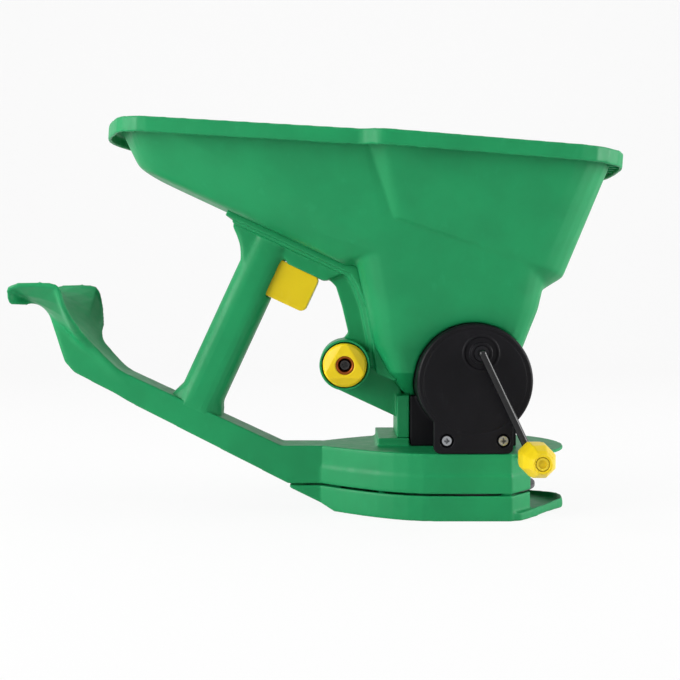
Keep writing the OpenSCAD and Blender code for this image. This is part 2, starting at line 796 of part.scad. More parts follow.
// Dial: the yellow cap is screwed to the shaft of the stop cam behind the web
dial_back_y = -dial_front + dial_t;
dial_face = 5;
dial_corner = dial_r / cos(180 / 8);
dial_web_y = -dial_front + 9;
cam_y = -web_half + shell_wall + 0.3;
module rate_dial() {
    color(yellow) in_handle() difference() {
        union() {
            // Round body with eight flats around its face
            intersection() {
                rod_y(dial_r, -dial_front, dial_back_y, dial_x, dial_z);
                translate([dial_x, -dial_front + dial_face, dial_z]) rotate([90, 0, 0])
                    cylinder(r1 = dial_corner + 1.5, r2 = dial_corner - 4, h = dial_face, $fn = 8);
            }
            rod_y(dial_r, -dial_front + dial_face - 0.5, dial_back_y, dial_x, dial_z);
            rod_y(dial_shaft_r + 4, dial_back_y - 1, -web_half - move_gap, dial_x, dial_z);
        }
        rod_y(dial_hole_r, -dial_front - 1, dial_web_y, dial_x, dial_z);
        rod_y(dial_shaft_r + 0.02, dial_web_y + 2.5, 0, dial_x, dial_z);
        rod_y(shank_hole, -dial_front, 0, dial_x, dial_z);
    }
}

module dial_cam() {
    front = dial_web_y + 2.5 + seat_gap;
    color(ivory) in_handle() difference() {
        union() {
            rod_y(dial_shaft_r, front, cam_y + 1, dial_x, dial_z);
            rod_y(dial_shaft_r + 2, cam_y, cam_y + 4, dial_x, dial_z);
            rod_y(dial_shaft_r, cam_y, cam_y + 4, dial_x + 4, dial_z);
        }
        rod_y(shank_hole, front - 1, front + 14, dial_x, dial_z);
    }
}

washer_t = 0.8;
module dial_washer() {
    color(brass) in_handle()
        tube_y(dial_hole_r - 0.4, shank_hole, dial_web_y - washer_t, dial_web_y, dial_x, dial_z);
}

module dial_screw() {
    color(black) in_handle() translate([dial_x, dial_web_y - washer_t, dial_z])
        rotate([-90, 0, 0]) screw(14);
}

// Deck, beam and cradle
beam_top = -grip_drop;
taper_rear = 110;
taper_front = 26;
plan_steps = 8;
function plan_half(x) =
    x <= -taper_rear ? beam_half
    : x >= -taper_front ? deck_half
    : beam_half + (deck_half - beam_half) * sin(90 * (x + taper_rear) / (taper_rear - taper_front));
facet_x0 = 26.5;
facet_x1 = 43.5;
facet_half = 38;
seam_gap = 1.2;
nose_x = deck_nose - deck_half;

// Outline of the deck's skirt and the pan's wall, up to the front facets
function near_edge(rear) = concat(
    [[-rear, -beam_half]],
    [for (k = [0 : plan_steps])
        let (x = -taper_rear + (taper_rear - taper_front) * k / plan_steps) [x, -plan_half(x)]],
    [[facet_x0, -deck_half], [facet_x1, -facet_half]]);
function mirrored(points) =
    concat(points, [for (i = [len(points) - 1 : -1 : 0]) [points[i][0], -points[i][1]]]);

module skirt_plan(rear) {
    polygon(mirrored(near_edge(rear)));
}

module nose_plan(inset = 0) {
    intersection() {
        translate([nose_x, 0]) circle(r = deck_half - inset, $fn = 96);
        translate([nose_x, -100]) square([100, 200]);
    }
}

// The pan's nose runs on from the front facets
nose_apex = facet_x1 + facet_half * (facet_x1 - facet_x0) / (deck_half - facet_half);
nose_ledge = 5;
module pan_nose(inset = 0) {
    intersection() {
        nose_plan(inset);
        translate([nose_ledge - 1.34 * inset, 0]) polygon([[nose_apex, 0],
            [facet_x1 - 4 * (facet_x1 - facet_x0), facet_half + 4 * (deck_half - facet_half)],
            [facet_x1 - 4 * (facet_x1 - facet_x0), -facet_half - 4 * (deck_half - facet_half)]]);
    }
}

deck_rear = 134;
skirt_band = 13;
skirt_step = 0.8;
cradle_low = 105;
wing_steps = 12;
// Sections across the cradle, front to rear: distances from its rear end in the middle and at the
// edge, half width, and heights in the middle and at the edge as shares of the rise
cradle_sections = [
    [81, 81, beam_half - 0.5, -0.1, -0.1],
    [69, 69, beam_half + 1.6, 0, 0.035],
    [61, 60, beam_half + 3.5, 0.11, 0.185],
    [54, 52, beam_half + 5, 0.20, 0.33],
    [50, 48.5, 0.48 * wing_half, 0.26, 0.44],
    [47, 46, 0.69 * wing_half, 0.31, 0.54],
    [44, 43.5, 0.86 * wing_half, 0.355, 0.65],
    [41, 41, 0.98 * wing_half, 0.40, 0.79],
    [37, 37, wing_half, 0.47, 0.975],
    [29, 25, wing_half, 0.595, 1],
    [21, 9, wing_half, 0.74, 0.985],
    [15, 2, 0.965 * wing_half, 0.835, 0.94]
];

// Trough of the cradle: sections across it, joined into one thin curved sheet
function cradle_point(s, k, t) =
    let (
        share = 2 * k / wing_steps - 1,
        bow = pow(abs(share), 2.2),
        rise = wing_h - cradle_low,
        x = s[0] + (s[1] - s[0]) * bow - cradle_rear,
        z = cradle_low + rise * (s[3] + (s[4] - s[3]) * bow)
    )
    [x - 0.45 * t, s[2] * share, z - 0.9 * t];
// Extra thickness under the sheet, where its wings run out into the beam's sides
blend_t = 14;
function cradle_under(s, k) =
    let (
        away = abs(s[2] * (2 * k / wing_steps - 1)) / (beam_half + 11),
        extra = blend_t * pow(max(0, 1 - away), 1.3)
    )
    cradle_point(s, k, cradle_t) + extra * [0.3, 0, -0.95];
module cradle() {
    n = wing_steps + 1;
    ring = 2 * n;
    m = len(cradle_sections);
    points = [for (s = cradle_sections) each concat(
        [for (k = [0 : wing_steps]) cradle_point(s, k, 0)],
        [for (k = [wing_steps : -1 : 0]) cradle_under(s, k)])];
    sides = [for (i = [0 : m - 2], j = [0 : ring - 1])
        let (a = i * ring + j, b = i * ring + (j + 1) % ring)
        each [[a, a + ring, b], [b, a + ring, b + ring]]];
    caps = [for (k = [0 : wing_steps - 1])
        let (a = k, b = k + 1, c = ring - 2 - k, d = ring - 1 - k, e = (m - 1) * ring)
        each [[a, b, d], [b, c, d], [e + a, e + d, e + b], [e + b, e + d, e + c]]];
    polyhedron(points, concat(sides, caps), convexity = 8);
}

// Side view of the beam. Its top lies on the grip's foot and then inside the cradle's sheet.
beam_bend = [-295, 102.2];
beam_heel = [-302, 111];
beam_foot = hand_x + (beam_top - (deck_h - hand_z) * cos(handle_slope)) / sin(handle_slope);
beam_end = -cradle_rear + 77;
module beam_side(inset, drop) {
    front_x = -deck_rear + 24;
    last = len(cradle_sections) - 1;
    under_cradle = [for (i = [1 : last])
        let (p = cradle_point(cradle_sections[i], wing_steps / 2, 0.35 * cradle_t))
        [p[0] + (i == last ? inset : 0), p[2] - inset]];
    polygon(concat(
        [
            [beam_heel[0] + inset, beam_heel[1]],
            [beam_bend[0] + inset, beam_bend[1] - drop],
            [-deck_rear + inset, pan_h + seam_gap - drop],
            [front_x - inset, pan_h + seam_gap - drop],
            [front_x - inset, deck_h - inset],
            [beam_foot, deck_h - inset],
            [beam_end, deck_h + (beam_foot - beam_end) * tan(handle_slope) - inset]
        ],
        under_cradle));
}

pan_screw_at = [[-64, 38], [-64, -38], [23, 51.5], [23, -51.5]];
case_screw_at = [[-33, -10], [27, -10]];
pan_boss_top = disc_h - 1;
post_r = boss_r - 0.6;

module base_frame() {
    color(green) difference() {
        union() {
            // Deck: top plate and skirt, whose lower band stands out a little
            difference() {
                union() {
                    translate([0, 0, pan_h + seam_gap])
                        linear_extrude(skirt_band) skirt_plan(deck_rear - 10);
                    translate([0, 0, pan_h + seam_gap]) linear_extrude(deck_h - pan_h - seam_gap)
                        offset(delta = -skirt_step) skirt_plan(deck_rear - 10);
                    translate([0, 0, deck_h - deck_wall]) linear_extrude(deck_wall) nose_plan(skirt_step);
                }
                translate([0, 0, pan_h - 1]) linear_extrude(deck_h - deck_wall - pan_h + 1)
                    offset(delta = -deck_wall) skirt_plan(deck_rear - 10);
                box([facet_x1 - 4, -facet_half, pan_h - 1],
                    [facet_x1 + 10, facet_half, deck_h - deck_wall]);
            }
            // Pad under the neck
            box([neck_rear - 14, foot_y0 - 1, deck_h - 1], [foot_x0 - 0.6, neck_far + lug + 2, pad_top]);
            box([foot_x0 - 1, case_back + 1.4, deck_h - 1], [neck_front + 2, neck_far + 2, pad_top]);
            for (p = pan_screw_at) translate([p[0], p[1], pan_boss_top + seat_gap])
                cylinder(r = post_r, h = deck_h - pan_boss_top - 1);
            difference() {
                along_y(-beam_half, beam_half) beam_side(0, 0);
                along_y(-beam_half + deck_wall, beam_half - deck_wall) beam_side(deck_wall, 30);
            }
            cradle();
        }
        // Ways through the deck for the seed and the shaft
        box([outlet_x - 10, outlet_y - outlet_half_w, deck_h - 20],
            [outlet_x + 10, outlet_y + outlet_half_w, pad_top + 10]);
        translate([0, 0, deck_h - 10]) cylinder(r = spinner_shaft_d / 2 + 1.5, h = 20);
        neck_screw_holes(shank_hole);
        for (p = case_screw_at) translate([p[0], p[1], deck_h - 10]) cylinder(r = shank_hole, h = 20);
        for (p = pan_screw_at) translate([p[0], p[1], 0]) cylinder(r = shank_hole, h = pan_boss_top + 18);
        at_foot_screws() translate([0, 0, -5]) cylinder(r = shank_hole, h = 30);
    }
}

module base_pan() {
    wedge_x = -taper_rear + 10;
    color(green) difference() {
        union() {
            difference() {
                union() {
                    linear_extrude(pan_h) skirt_plan(taper_rear + 1);
                    linear_extrude(lip_h) pan_nose();
                }
                translate([0, 0, deck_wall]) linear_extrude(pan_h)
                    offset(delta = -deck_wall) skirt_plan(taper_rear + 1);
                translate([0, 0, deck_wall]) linear_extrude(pan_h) difference() {
                    pan_nose(deck_wall);
                    skirt_plan(taper_rear + 1);
                }
                box([facet_x1 - 4, -facet_half + 0.01, deck_wall],
                    [facet_x1 + 1, facet_half - 0.01, pan_h + 1]);
            }
            // Tail under the beam's end
            along_y(-beam_half, beam_half)
                polygon([[-deck_rear, pan_h], [-deck_rear + 1.5, pan_h - 2],
                    [wedge_x, 0], [wedge_x + 6, 0], [wedge_x + 6, pan_h]]);
            for (p = pan_screw_at) translate([p[0], p[1], 0]) cylinder(r = boss_r + 0.6, h = pan_boss_top);
            cylinder(r = spinner_shaft_d / 2 + 5.5, h = lower_bush_top);
        }
        // The tail's underside slopes up to the beam
        along_y(-60, 60) polygon([[-deck_rear - 40, pan_h - 2], [-deck_rear + 1.5, pan_h - 2],
            [wedge_x, 0], [wedge_x, -5], [-deck_rear - 40, -5]]);
        for (p = pan_screw_at) translate([p[0], p[1], -1]) {
            cylinder(r = head_r + 0.4, h = pan_head_h + 1);
            cylinder(r = shank_hole, h = 30);
            translate([0, 0, pan_boss_top + 1]) cylinder(r = post_r + 3 * seat_gap, h = 20);
        }
        translate([0, 0, deck_wall]) cylinder(r = lower_bush_r + 0.02, h = 20);
    }
}

// Gear case, cover and fasteners
crank_centre = spur_module * (crank_teeth + idler_teeth) / 2;
crank_x = crank_centre * sin(crank_lean);
crank_z = case_h + crank_centre * cos(crank_lean);
cover_back = -cover_front + cover_depth;
cover_in = -cover_front + 3;
cover_screw_x = 20;
cover_screw_z = deck_h + 9.5;
foot_low = deck_h + seat_gap;
foot_top = case_h - 26;
cheek_top = case_h - 14;
cheek_t = 4.5;
cover_edge = 1.4;
boss_ring_r = 12.8;
tab_x0 = -29;
tab_x1 = 27;
cavity_r = case_r - case_wall;
upper_bush_r = spinner_shaft_d / 2 + 2;
lower_bush_r = spinner_shaft_d / 2 + 2.5;
lower_bush_top = 9;

module gear_case() {
    color(black) difference() {
        union() {
            rod_y(case_r, cover_back + seat_gap, case_back, 0, case_h);
            box([foot_x0, foot_y0, foot_low], [foot_x1, case_back, foot_top]);
            box([foot_x0, foot_y0, foot_low], [foot_x1, foot_y0 + cheek_t, cheek_top]);
            box([-pod_half, foot_y0, pinion_h - 8], [pod_half, pod_far, pod_top]);
            for (x = [-cover_screw_x, cover_screw_x])
                rod_y(boss_r, cover_back + seat_gap, foot_y0 + 1, x, cover_screw_z);
        }
        // Gear room, open towards the cover, and the pinion's room
        rod_y(cavity_r, cover_back - 1, case_back - case_wall, 0, case_h);
        translate([0, 0, pinion_h - 4.5]) cylinder(r = pinion_r + 2, h = 9);
        box([-pinion_r - 2, -12, pinion_h - 4.5], [pinion_r + 2, 0, pinion_h + 4.5]);
        translate([0, 0, pinion_h - 20]) cylinder(r = spinner_shaft_d / 2 + 0.4, h = 40);
        translate([0, 0, pinion_h + 4]) cylinder(r = upper_bush_r + 0.02, h = 20);
        rod_y(crown_shaft_d / 2 + run_gap, -20, 20, 0, case_h);
        for (x = [-cover_screw_x, cover_screw_x])
            rod_y(shank_hole, cover_back - 1, foot_y0 + 10, x, cover_screw_z);
        for (p = case_screw_at) translate([p[0], p[1], foot_low - 1]) cylinder(r = shank_hole, h = 19);
    }
}

module gear_cover() {
    color(black) difference() {
        union() {
            rod_y(case_r, -cover_front + cover_edge, cover_back, 0, case_h);
            translate([0, -cover_front + cover_edge, case_h]) rotate([90, 0, 0])
                cylinder(r1 = case_r, r2 = case_r - cover_edge, h = cover_edge);
            tube_y(boss_ring_r, boss_ring_r - 1.2, -cover_front - 0.6, -cover_front + 1, crank_x, crank_z);
            along_y(-cover_front, cover_back)
                polygon(box_outline(tab_x0, tab_x1, foot_low + 0.3, case_h - 20, 4));
            rod_y(crank_d / 2 + 5, -cover_front - 4, cover_back, crank_x, crank_z);
        }
        difference() {
            rod_y(cavity_r, cover_in, cover_back + 1, 0, case_h);
            rod_y(crank_d / 2 + 5, cover_in - 1, cover_back + 2, crank_x, crank_z);
            rod_y(crown_shaft_d / 2 + 3, cover_in - 1, cover_back - 0.4, 0, case_h);
        }
        // Groove just inside the edge
        tube_y(case_r - 3.4, case_r - 4.6, -cover_front - 1, -cover_front + 0.6, 0, case_h);
        rod_y(crank_d / 2 + 2.5 + 0.02, -cover_front - 5, 0, crank_x, crank_z);
        rod_y(crown_shaft_d / 2 + run_gap, cover_in, 0, 0, case_h);
        for (x = [-cover_screw_x, cover_screw_x]) {
            rod_y(shank_hole, -cover_front - 1, 0, x, cover_screw_z);
            rod_y(head_r + 1.6, -cover_front - 1, -cover_front + head_t, x, cover_screw_z);
        }
    }
}

module gear_cover_screws() {
    color(steel) for (x = [-cover_screw_x, cover_screw_x])
        translate([x, -cover_front + head_t, cover_screw_z]) rotate([-90, 0, 0]) screw(26);
}

// Gears

function involute(a) = tan(a) - a * PI / 180;
// Half angle of a tooth at radius r
function tooth_half(n, m, slack, r) =
    let (rp = m * n / 2, rb = rp * cos(20), a = acos(min(1, rb / max(r, rb))))
    (PI / (2 * n) - slack / (2 * rp) + involute(20) - involute(a)) * 180 / PI;
// Outline of a spur gear, with the middle of a tooth on angle turn
module spur_outline(n, m, slack, turn) {
    rp = m * n / 2;
    radii = [rp - 1.25 * m, rp - 0.6 * m, rp - 0.2 * m, rp + 0.2 * m, rp + 0.6 * m, rp + m];
    count = len(radii);
    polygon([for (i = [0 : n - 1], k = [0 : 2 * count - 1])
        let (
            r = k < count ? radii[k] : radii[2 * count - 1 - k],
            side = k < count ? -1 : 1,
            a = turn + 360 * i / n + side * tooth_half(n, m, slack, r)
        )
        r * [cos(a), sin(a)]]);
}

spur_slack = 0.3;
spur_y0 = cover_back + 1.5;
spur_y1 = spur_y0 + 9;
crown_back = -pinion_r - crown_module * 1.25;
crown_face = crown_back - 7;
crown_tooth_half = 2;

module crank_gear() {
    color(ivory) difference() {
        translate([crank_x, 0, crank_z]) along_y(spur_y0, spur_y1)
            spur_outline(crank_teeth, spur_module, spur_slack, 270 - crank_lean);
        rod_y(crank_d / 2 + 0.02, spur_y0 - 1, spur_y1 + 1, crank_x, crank_z);
    }
}

module crown_gear() {
    tip = -pinion_r + 0.75 * crown_module;
    pitch = crown_module * PI;
    root_half = 0.19 * pitch;
    tip_half = 0.07 * pitch;
    color(ivory) difference() {
        union() {
            translate([0, 0, case_h]) along_y(spur_y0, spur_y1)
                spur_outline(idler_teeth, spur_module, spur_slack, 90 - crank_lean + 180 / idler_teeth);
            rod_y(crown_shaft_d / 2 + 4.5, spur_y1 - 0.5, crown_face + 1, 0, case_h);
            rod_y(crown_r + 3, crown_face, crown_back, 0, case_h);
            for (i = [0 : crown_teeth - 1])
                translate([0, 0, case_h]) rotate([0, 360 * i / crown_teeth, 0])
                    translate([0, 0, -crown_r - crown_tooth_half]) linear_extrude(2 * crown_tooth_half)
                        polygon([[-root_half, crown_back - 0.5], [root_half, crown_back - 0.5],
                            [root_half, crown_back], [tip_half, tip],
                            [-tip_half, tip], [-root_half, crown_back]]);
        }
        rod_y(crown_shaft_d / 2 + 0.02, spur_y0 - 1, 0, 0, case_h);
    }
}

agitator_y = outlet_y - 1;
agitator_hub = 12;
module crown_shaft() {
    color(steel) rod_y(crown_shaft_d / 2, cover_in + 0.5, agitator_y + agitator_hub, 0, case_h);
}

agitator_r = 12.5;
module agitator() {
    color(ivory) difference() {
        union() {
            rod_y(crown_shaft_d / 2 + 2.5, agitator_y, agitator_y + agitator_hub, 0, case_h);
            for (s = [-1, 1])
                translate([0, agitator_y + agitator_hub / 2 + 2.5 * s, case_h]) rotate([0, 90 + 90 * s, 0])
                    cylinder(r = 1.5, h = agitator_r);
        }
        rod_y(crown_shaft_d / 2 + 0.02, agitator_y - 1, agitator_y + agitator_hub + 1, 0, case_h);
    }
}

shaft_low = deck_wall + 1;
module spinner_shaft() {
    color(steel) difference() {
        translate([0, 0, shaft_low]) cylinder(r = spinner_shaft_d / 2, h = pod_top - 0.5 - shaft_low);
        translate([-20, 0, pin_h]) rotate([0, 90, 0]) cylinder(r = pin_r + 0.02, h = 40);
    }
}

module spinner_pinion() {
    color(ivory) translate([0, 0, pinion_h - 3]) difference() {
        linear_extrude(6) spur_outline(pinion_teeth, crown_module, 0.5, 270 + 180 / pinion_teeth);
        translate([0, 0, -1]) cylinder(r = spinner_shaft_d / 2 + 0.02, h = 8);
    }
}

hub_r = spinner_shaft_d / 2 + 5;
hub_low = lower_bush_top + 0.5;
hub_top = disc_h + disc_t + vane_h + 1;
pin_r = 1.2;
pin_h = disc_h + disc_t + 5;
module spinner_disc() {
    color(grey) difference() {
        union() {
            translate([0, 0, disc_h]) cylinder(r = disc_r, h = disc_t, $fn = 96);
            translate([0, 0, hub_low]) cylinder(r = hub_r, h = hub_top - hub_low);
            for (i = [0 : vane_count - 1]) rotate([0, 0, 360 * (i + 0.5) / vane_count])
                box([hub_r - 1, -1.2, disc_h + disc_t - 0.5], [disc_r - 1, 1.2, disc_h + disc_t + vane_h]);
        }
        translate([0, 0, hub_low - 1]) cylinder(r = spinner_shaft_d / 2 + 0.02, h = 60);
        translate([-hub_r - 1, 0, pin_h]) rotate([0, 90, 0]) cylinder(r = pin_r + 0.02, h = 2 * hub_r + 2);
    }
}

module spinner_pin() {
    color(steel) translate([-hub_r + 0.5, 0, pin_h]) rotate([0, 90, 0])
        cylinder(r = pin_r, h = 2 * hub_r - 1);
}

module shaft_upper_bush() {
    color(brass) tube_z(upper_bush_r, spinner_shaft_d / 2 + run_gap, pinion_h + 4.5, pod_top - 0.5);
}

module shaft_lower_bush() {
    color(brass) tube_z(lower_bush_r, spinner_shaft_d / 2 + run_gap, deck_wall + 0.02, lower_bush_top);
}

// Crank: shaft, arm, pin and knob
bend_y = -cover_front - 8;
bend_bulge = 0.25;
knob_x = crank_x + crank_reach * sin(crank_angle);
knob_z = crank_z - crank_reach * cos(crank_angle);
knob_y1 = -crank_front - crank_d / 2 - 0.8;
knob_y0 = knob_y1 - knob_len;
knob_ring = 1.6;
cap_y = knob_y0 - 0.6;
pin_end = cap_y + 1.9;

module bar_between(a, b, r) {
    d = b - a;
    translate(a) rotate([0, acos(d[2] / norm(d)), atan2(d[1], d[0])]) cylinder(r = r, h = norm(d));
}

module crank_rod() {
    hub = [crank_x, bend_y, crank_z];
    hand = [knob_x, -crank_front, knob_z];
    color(black) {
        rod_y(crank_d / 2, bend_y, spur_y1 + 2, crank_x, crank_z);
        translate(hub) sphere(r = crank_d / 2 + bend_bulge);
        bar_between(hub, hand, crank_d / 2);
        translate(hand) sphere(r = crank_d / 2 + bend_bulge);
        rod_y(crank_d / 2, pin_end, -crank_front, knob_x, knob_z);
    }
}

module crank_bush() {
    color(black) tube_y(crank_d / 2 + 2.5, crank_d / 2 + run_gap,
        -cover_front - 4.2, spur_y0 - 0.3, crank_x, crank_z);
}

module crank_clip() {
    color(steel) tube_y(crank_d / 2 + 2.2, crank_d / 2 + 0.02,
        spur_y1 + 0.2, spur_y1 + 1.2, crank_x, crank_z);
}

cap_t = 3;
cap_web = 1.8;
module crank_knob() {
    color(yellow) difference() {
        union() {
            translate([knob_x, knob_y1, knob_z]) rotate([90, 0, 0]) rotate([0, 0, 22.5])
                rotate_extrude($fn = 8) polygon([
                    [0, 0], [0.62 * knob_r, 0], [0.9 * knob_r, 0.16 * knob_len], [knob_r, 0.45 * knob_len],
                    [0.94 * knob_r, 0.72 * knob_len], [0.72 * knob_r, 0.93 * knob_len],
                    [0.6 * knob_r, knob_len], [0, knob_len]]);
            rod_y(0.53 * knob_r, knob_y0 - knob_ring, knob_y0 + 1, knob_x, knob_z);
        }
        rod_y(crank_d / 2 + 2 * run_gap, knob_y0 - 1, knob_y1 + 1, knob_x, knob_z);
        rod_y(crank_d / 2 + 2, knob_y0 - knob_ring - 1, cap_y + cap_t + 0.7, knob_x, knob_z);
    }
}

module knob_cap() {
    color(yellow) difference() {
        rod_y(crank_d / 2 + 1.5, cap_y, cap_y + cap_t, knob_x, knob_z);
        rod_y(crank_d / 2 + 0.02, cap_y + cap_web, cap_y + cap_t + 1, knob_x, knob_z);
        rod_y(crank_d / 2, cap_y - 1, cap_y + 1, knob_x, knob_z);
    }
}

// Fasteners
module handle_screws() {
    color(steel) in_handle() for (z = handle_screw_at)
        translate([grip_mid, grip_width / 2 - 5, z]) rotate([90, 0, 0]) screw(grip_width - 12);
}

module at_foot_screws() {
    in_handle() for (y = [-foot_screw_y, foot_screw_y])
        translate([grip_mid, y, beam_top - deck_wall - 0.3]) children();
}

module handle_foot_screws() {
    color(steel) at_foot_screws() screw(15);
}

module neck_screws() {
    color(steel) for (p = neck_screw_at) translate([p[0], p[1], deck_h - deck_wall]) screw(16);
}

module hopper_screws() {
    color(steel) at_hopper_screws() screw(11);
}

pan_head_h = 8;
module base_pan_screws() {
    color(steel) for (p = pan_screw_at)
        translate([p[0], p[1], pan_head_h]) screw(pan_boss_top + 16 - pan_head_h);
}

module case_screws() {
    color(steel) for (p = case_screw_at) translate([p[0], p[1], deck_h - deck_wall]) screw(18);
}

hopper();
base_frame();
base_pan();
handle_left_shell();
handle_right_shell();
gear_case();
gear_cover();
gear_cover_screws();
crank_rod();
crank_bush();
crank_gear();
crank_clip();
crank_knob();
knob_cap();
crown_gear();
crown_shaft();
agitator();
spinner_shaft();
spinner_pinion();
spinner_disc();
spinner_pin();
shaft_upper_bush();
shaft_lower_bush();
trigger();
trigger_spring();
trigger_rod();
gate_plate();
rate_dial();
dial_cam();
dial_washer();
dial_screw();
handle_screws();
handle_foot_screws();
neck_screws();
hopper_screws();
base_pan_screws();
case_screws();
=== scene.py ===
"""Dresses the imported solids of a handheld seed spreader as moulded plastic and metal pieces."""

import logging
import math
from dataclasses import dataclass, field
from enum import Enum
from typing import Callable, Sequence

import bmesh
import bpy
import numpy as np
from mathutils import Matrix, Vector
from mathutils.bvhtree import BVHTree


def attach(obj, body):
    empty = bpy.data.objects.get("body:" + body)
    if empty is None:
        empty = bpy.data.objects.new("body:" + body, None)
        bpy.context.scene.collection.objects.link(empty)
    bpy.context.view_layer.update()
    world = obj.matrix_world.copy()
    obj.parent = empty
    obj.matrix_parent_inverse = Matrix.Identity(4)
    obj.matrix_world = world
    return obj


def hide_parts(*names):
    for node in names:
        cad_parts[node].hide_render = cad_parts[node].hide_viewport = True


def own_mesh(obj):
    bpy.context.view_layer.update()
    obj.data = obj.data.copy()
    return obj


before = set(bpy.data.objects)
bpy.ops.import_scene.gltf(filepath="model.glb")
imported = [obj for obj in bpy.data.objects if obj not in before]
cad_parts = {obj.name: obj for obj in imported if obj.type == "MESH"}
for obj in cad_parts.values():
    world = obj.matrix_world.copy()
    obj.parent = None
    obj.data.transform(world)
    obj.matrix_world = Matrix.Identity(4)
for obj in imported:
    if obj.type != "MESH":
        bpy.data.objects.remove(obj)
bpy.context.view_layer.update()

LOG = logging.getLogger("seed_spreader")
MM = 0.001
# Rays that look for the bin's walls start this far out, and again this far past a wall, in metres
RAY_START = 0.3
RAY_STEP = 1e-5
Colour = tuple[float, float, float]
Point = tuple[float, float, float]
Socket = bpy.types.NodeSocket


class Body(Enum):
    """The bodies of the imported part."""

    BODY = "body"
    CRANK = "crank"
    KNOB = "knob"
    CROWN = "crown"
    SPINNER = "spinner"
    TRIGGER = "trigger"
    DIAL = "dial"


class Slot(Enum):
    """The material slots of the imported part's record."""

    GREEN = "green_plastic"
    YELLOW = "yellow_plastic"
    BLACK = "black_plastic"
    GREY = "grey_plastic"
    ACETAL = "acetal"
    STEEL = "steel"
    BLACK_STEEL = "black_steel"
    BRONZE = "bronze"


class ShaderSheet:
    """One material's node tree, written node by node around a Principled shader."""

    def __init__(self, name: str) -> None:
        """Starts the tree.

        Args:
            name: The material's name.
        """
        self.material = bpy.data.materials.new(name)
        self.material.use_nodes = True
        self.tree = self.material.node_tree
        self.tree.nodes.clear()
        output = self.add("ShaderNodeOutputMaterial")
        self.shader = self.add("ShaderNodeBsdfPrincipled")
        self.join(self.shader.outputs["BSDF"], output.inputs["Surface"])
        self.place = self.add("ShaderNodeTexCoord").outputs["Object"]

    def add(self, kind: str) -> bpy.types.Node:
        """Adds one node.

        Args:
            kind: Blender's name of the node type.

        Returns:
            The new node.
        """
        return self.tree.nodes.new(kind)

    def join(self, source: Socket, target: Socket) -> None:
        """Links an output to an input."""
        self.tree.links.new(source, target)

    def noise(self, size_mm: float, detail: float = 3.0, stretch: Point = (1.0, 1.0, 1.0)) -> Socket:
        """Adds noise in the part's own frame.

        Args:
            size_mm: Size of the noise's spots.
            detail: Octaves of finer noise.
            stretch: How much closer the spots lie along X, Y and Z.

        Returns:
            The noise's value, from 0 to 1.
        """
        mapping = self.add("ShaderNodeMapping")
        mapping.inputs["Scale"].default_value = stretch
        self.join(self.place, mapping.inputs["Vector"])
        texture = self.add("ShaderNodeTexNoise")
        texture.inputs["Scale"].default_value = 1.0 / (size_mm * MM)
        texture.inputs["Detail"].default_value = detail
        texture.inputs["Roughness"].default_value = 0.55
        self.join(mapping.outputs["Vector"], texture.inputs["Vector"])
        return texture.outputs["Fac"]

    def span(self, source: Socket, low: float, high: float, start: float = 0.3, end: float = 0.7) -> Socket:
        """Maps a value's range onto another one.

        Args:
            source: The value.
            low: Result at start and below.
            high: Result at end and above.
            start: Lower end of the value's range.
            end: Upper end of the value's range.

        Returns:
            The mapped value.
        """
        node = self.add("ShaderNodeMapRange")
        node.interpolation_type = "SMOOTHSTEP"
        for name, value in (("From Min", start), ("From Max", end), ("To Min", low), ("To Max", high)):
            node.inputs[name].default_value = value
        self.join(source, node.inputs["Value"])
        return node.outputs["Result"]

    def mix(self, share: Socket, first: Socket | Colour, second: Socket | Colour) -> Socket:
        """Mixes two colours.

        Args:
            share: How much of the second colour shows.
            first: A colour, or the output that gives one.
            second: The other colour, or its output.

        Returns:
            The mixed colour.
        """
        # The node has sockets for each kind of data, and the ones for colours go by number
        node = self.add("ShaderNodeMix")
        node.data_type = "RGBA"
        self.join(share, node.inputs[0])
        for given, socket in ((first, node.inputs[6]), (second, node.inputs[7])):
            if isinstance(given, Socket):
                self.join(given, socket)
            else:
                socket.default_value = (*given, 1.0)
        return node.outputs[2]

    def edges(self, start: float, end: float) -> Socket:
        """Adds a mask of the outer edges.

        Args:
            start: Sharpness at which an edge begins to show.
            end: Sharpness at which it shows fully.

        Returns:
            A value from 0 on flat faces to 1 on sharp outer edges.
        """
        return self.span(self.add("ShaderNodeNewGeometry").outputs["Pointiness"], 0.0, 1.0, start, end)

    def relief(self, heights: Sequence[tuple[Socket, float]]) -> None:
        """Chains bumps into the shader's normal.

        Args:
            heights: Height values from 0 to 1, each with its depth in millimetres.
        """
        normal = None
        for height, depth in heights:
            bump = self.add("ShaderNodeBump")
            bump.inputs["Strength"].default_value = 1.0
            bump.inputs["Distance"].default_value = depth * MM
            self.join(height, bump.inputs["Height"])
            if normal is not None:
                self.join(normal, bump.inputs["Normal"])
            normal = bump.outputs["Normal"]
        if normal is not None:
            self.join(normal, self.shader.inputs["Normal"])

    def constant(self, **values: float) -> None:
        """Sets sockets of the shader that are the same all over, named with _ for a space."""
        for name, value in values.items():
            self.shader.inputs[name.replace("_", " ")].default_value = value


def scaled(colour: Colour, by: float) -> Colour:
    """A colour made lighter or darker."""
    return tuple(min(1.0, c * by) for c in colour)


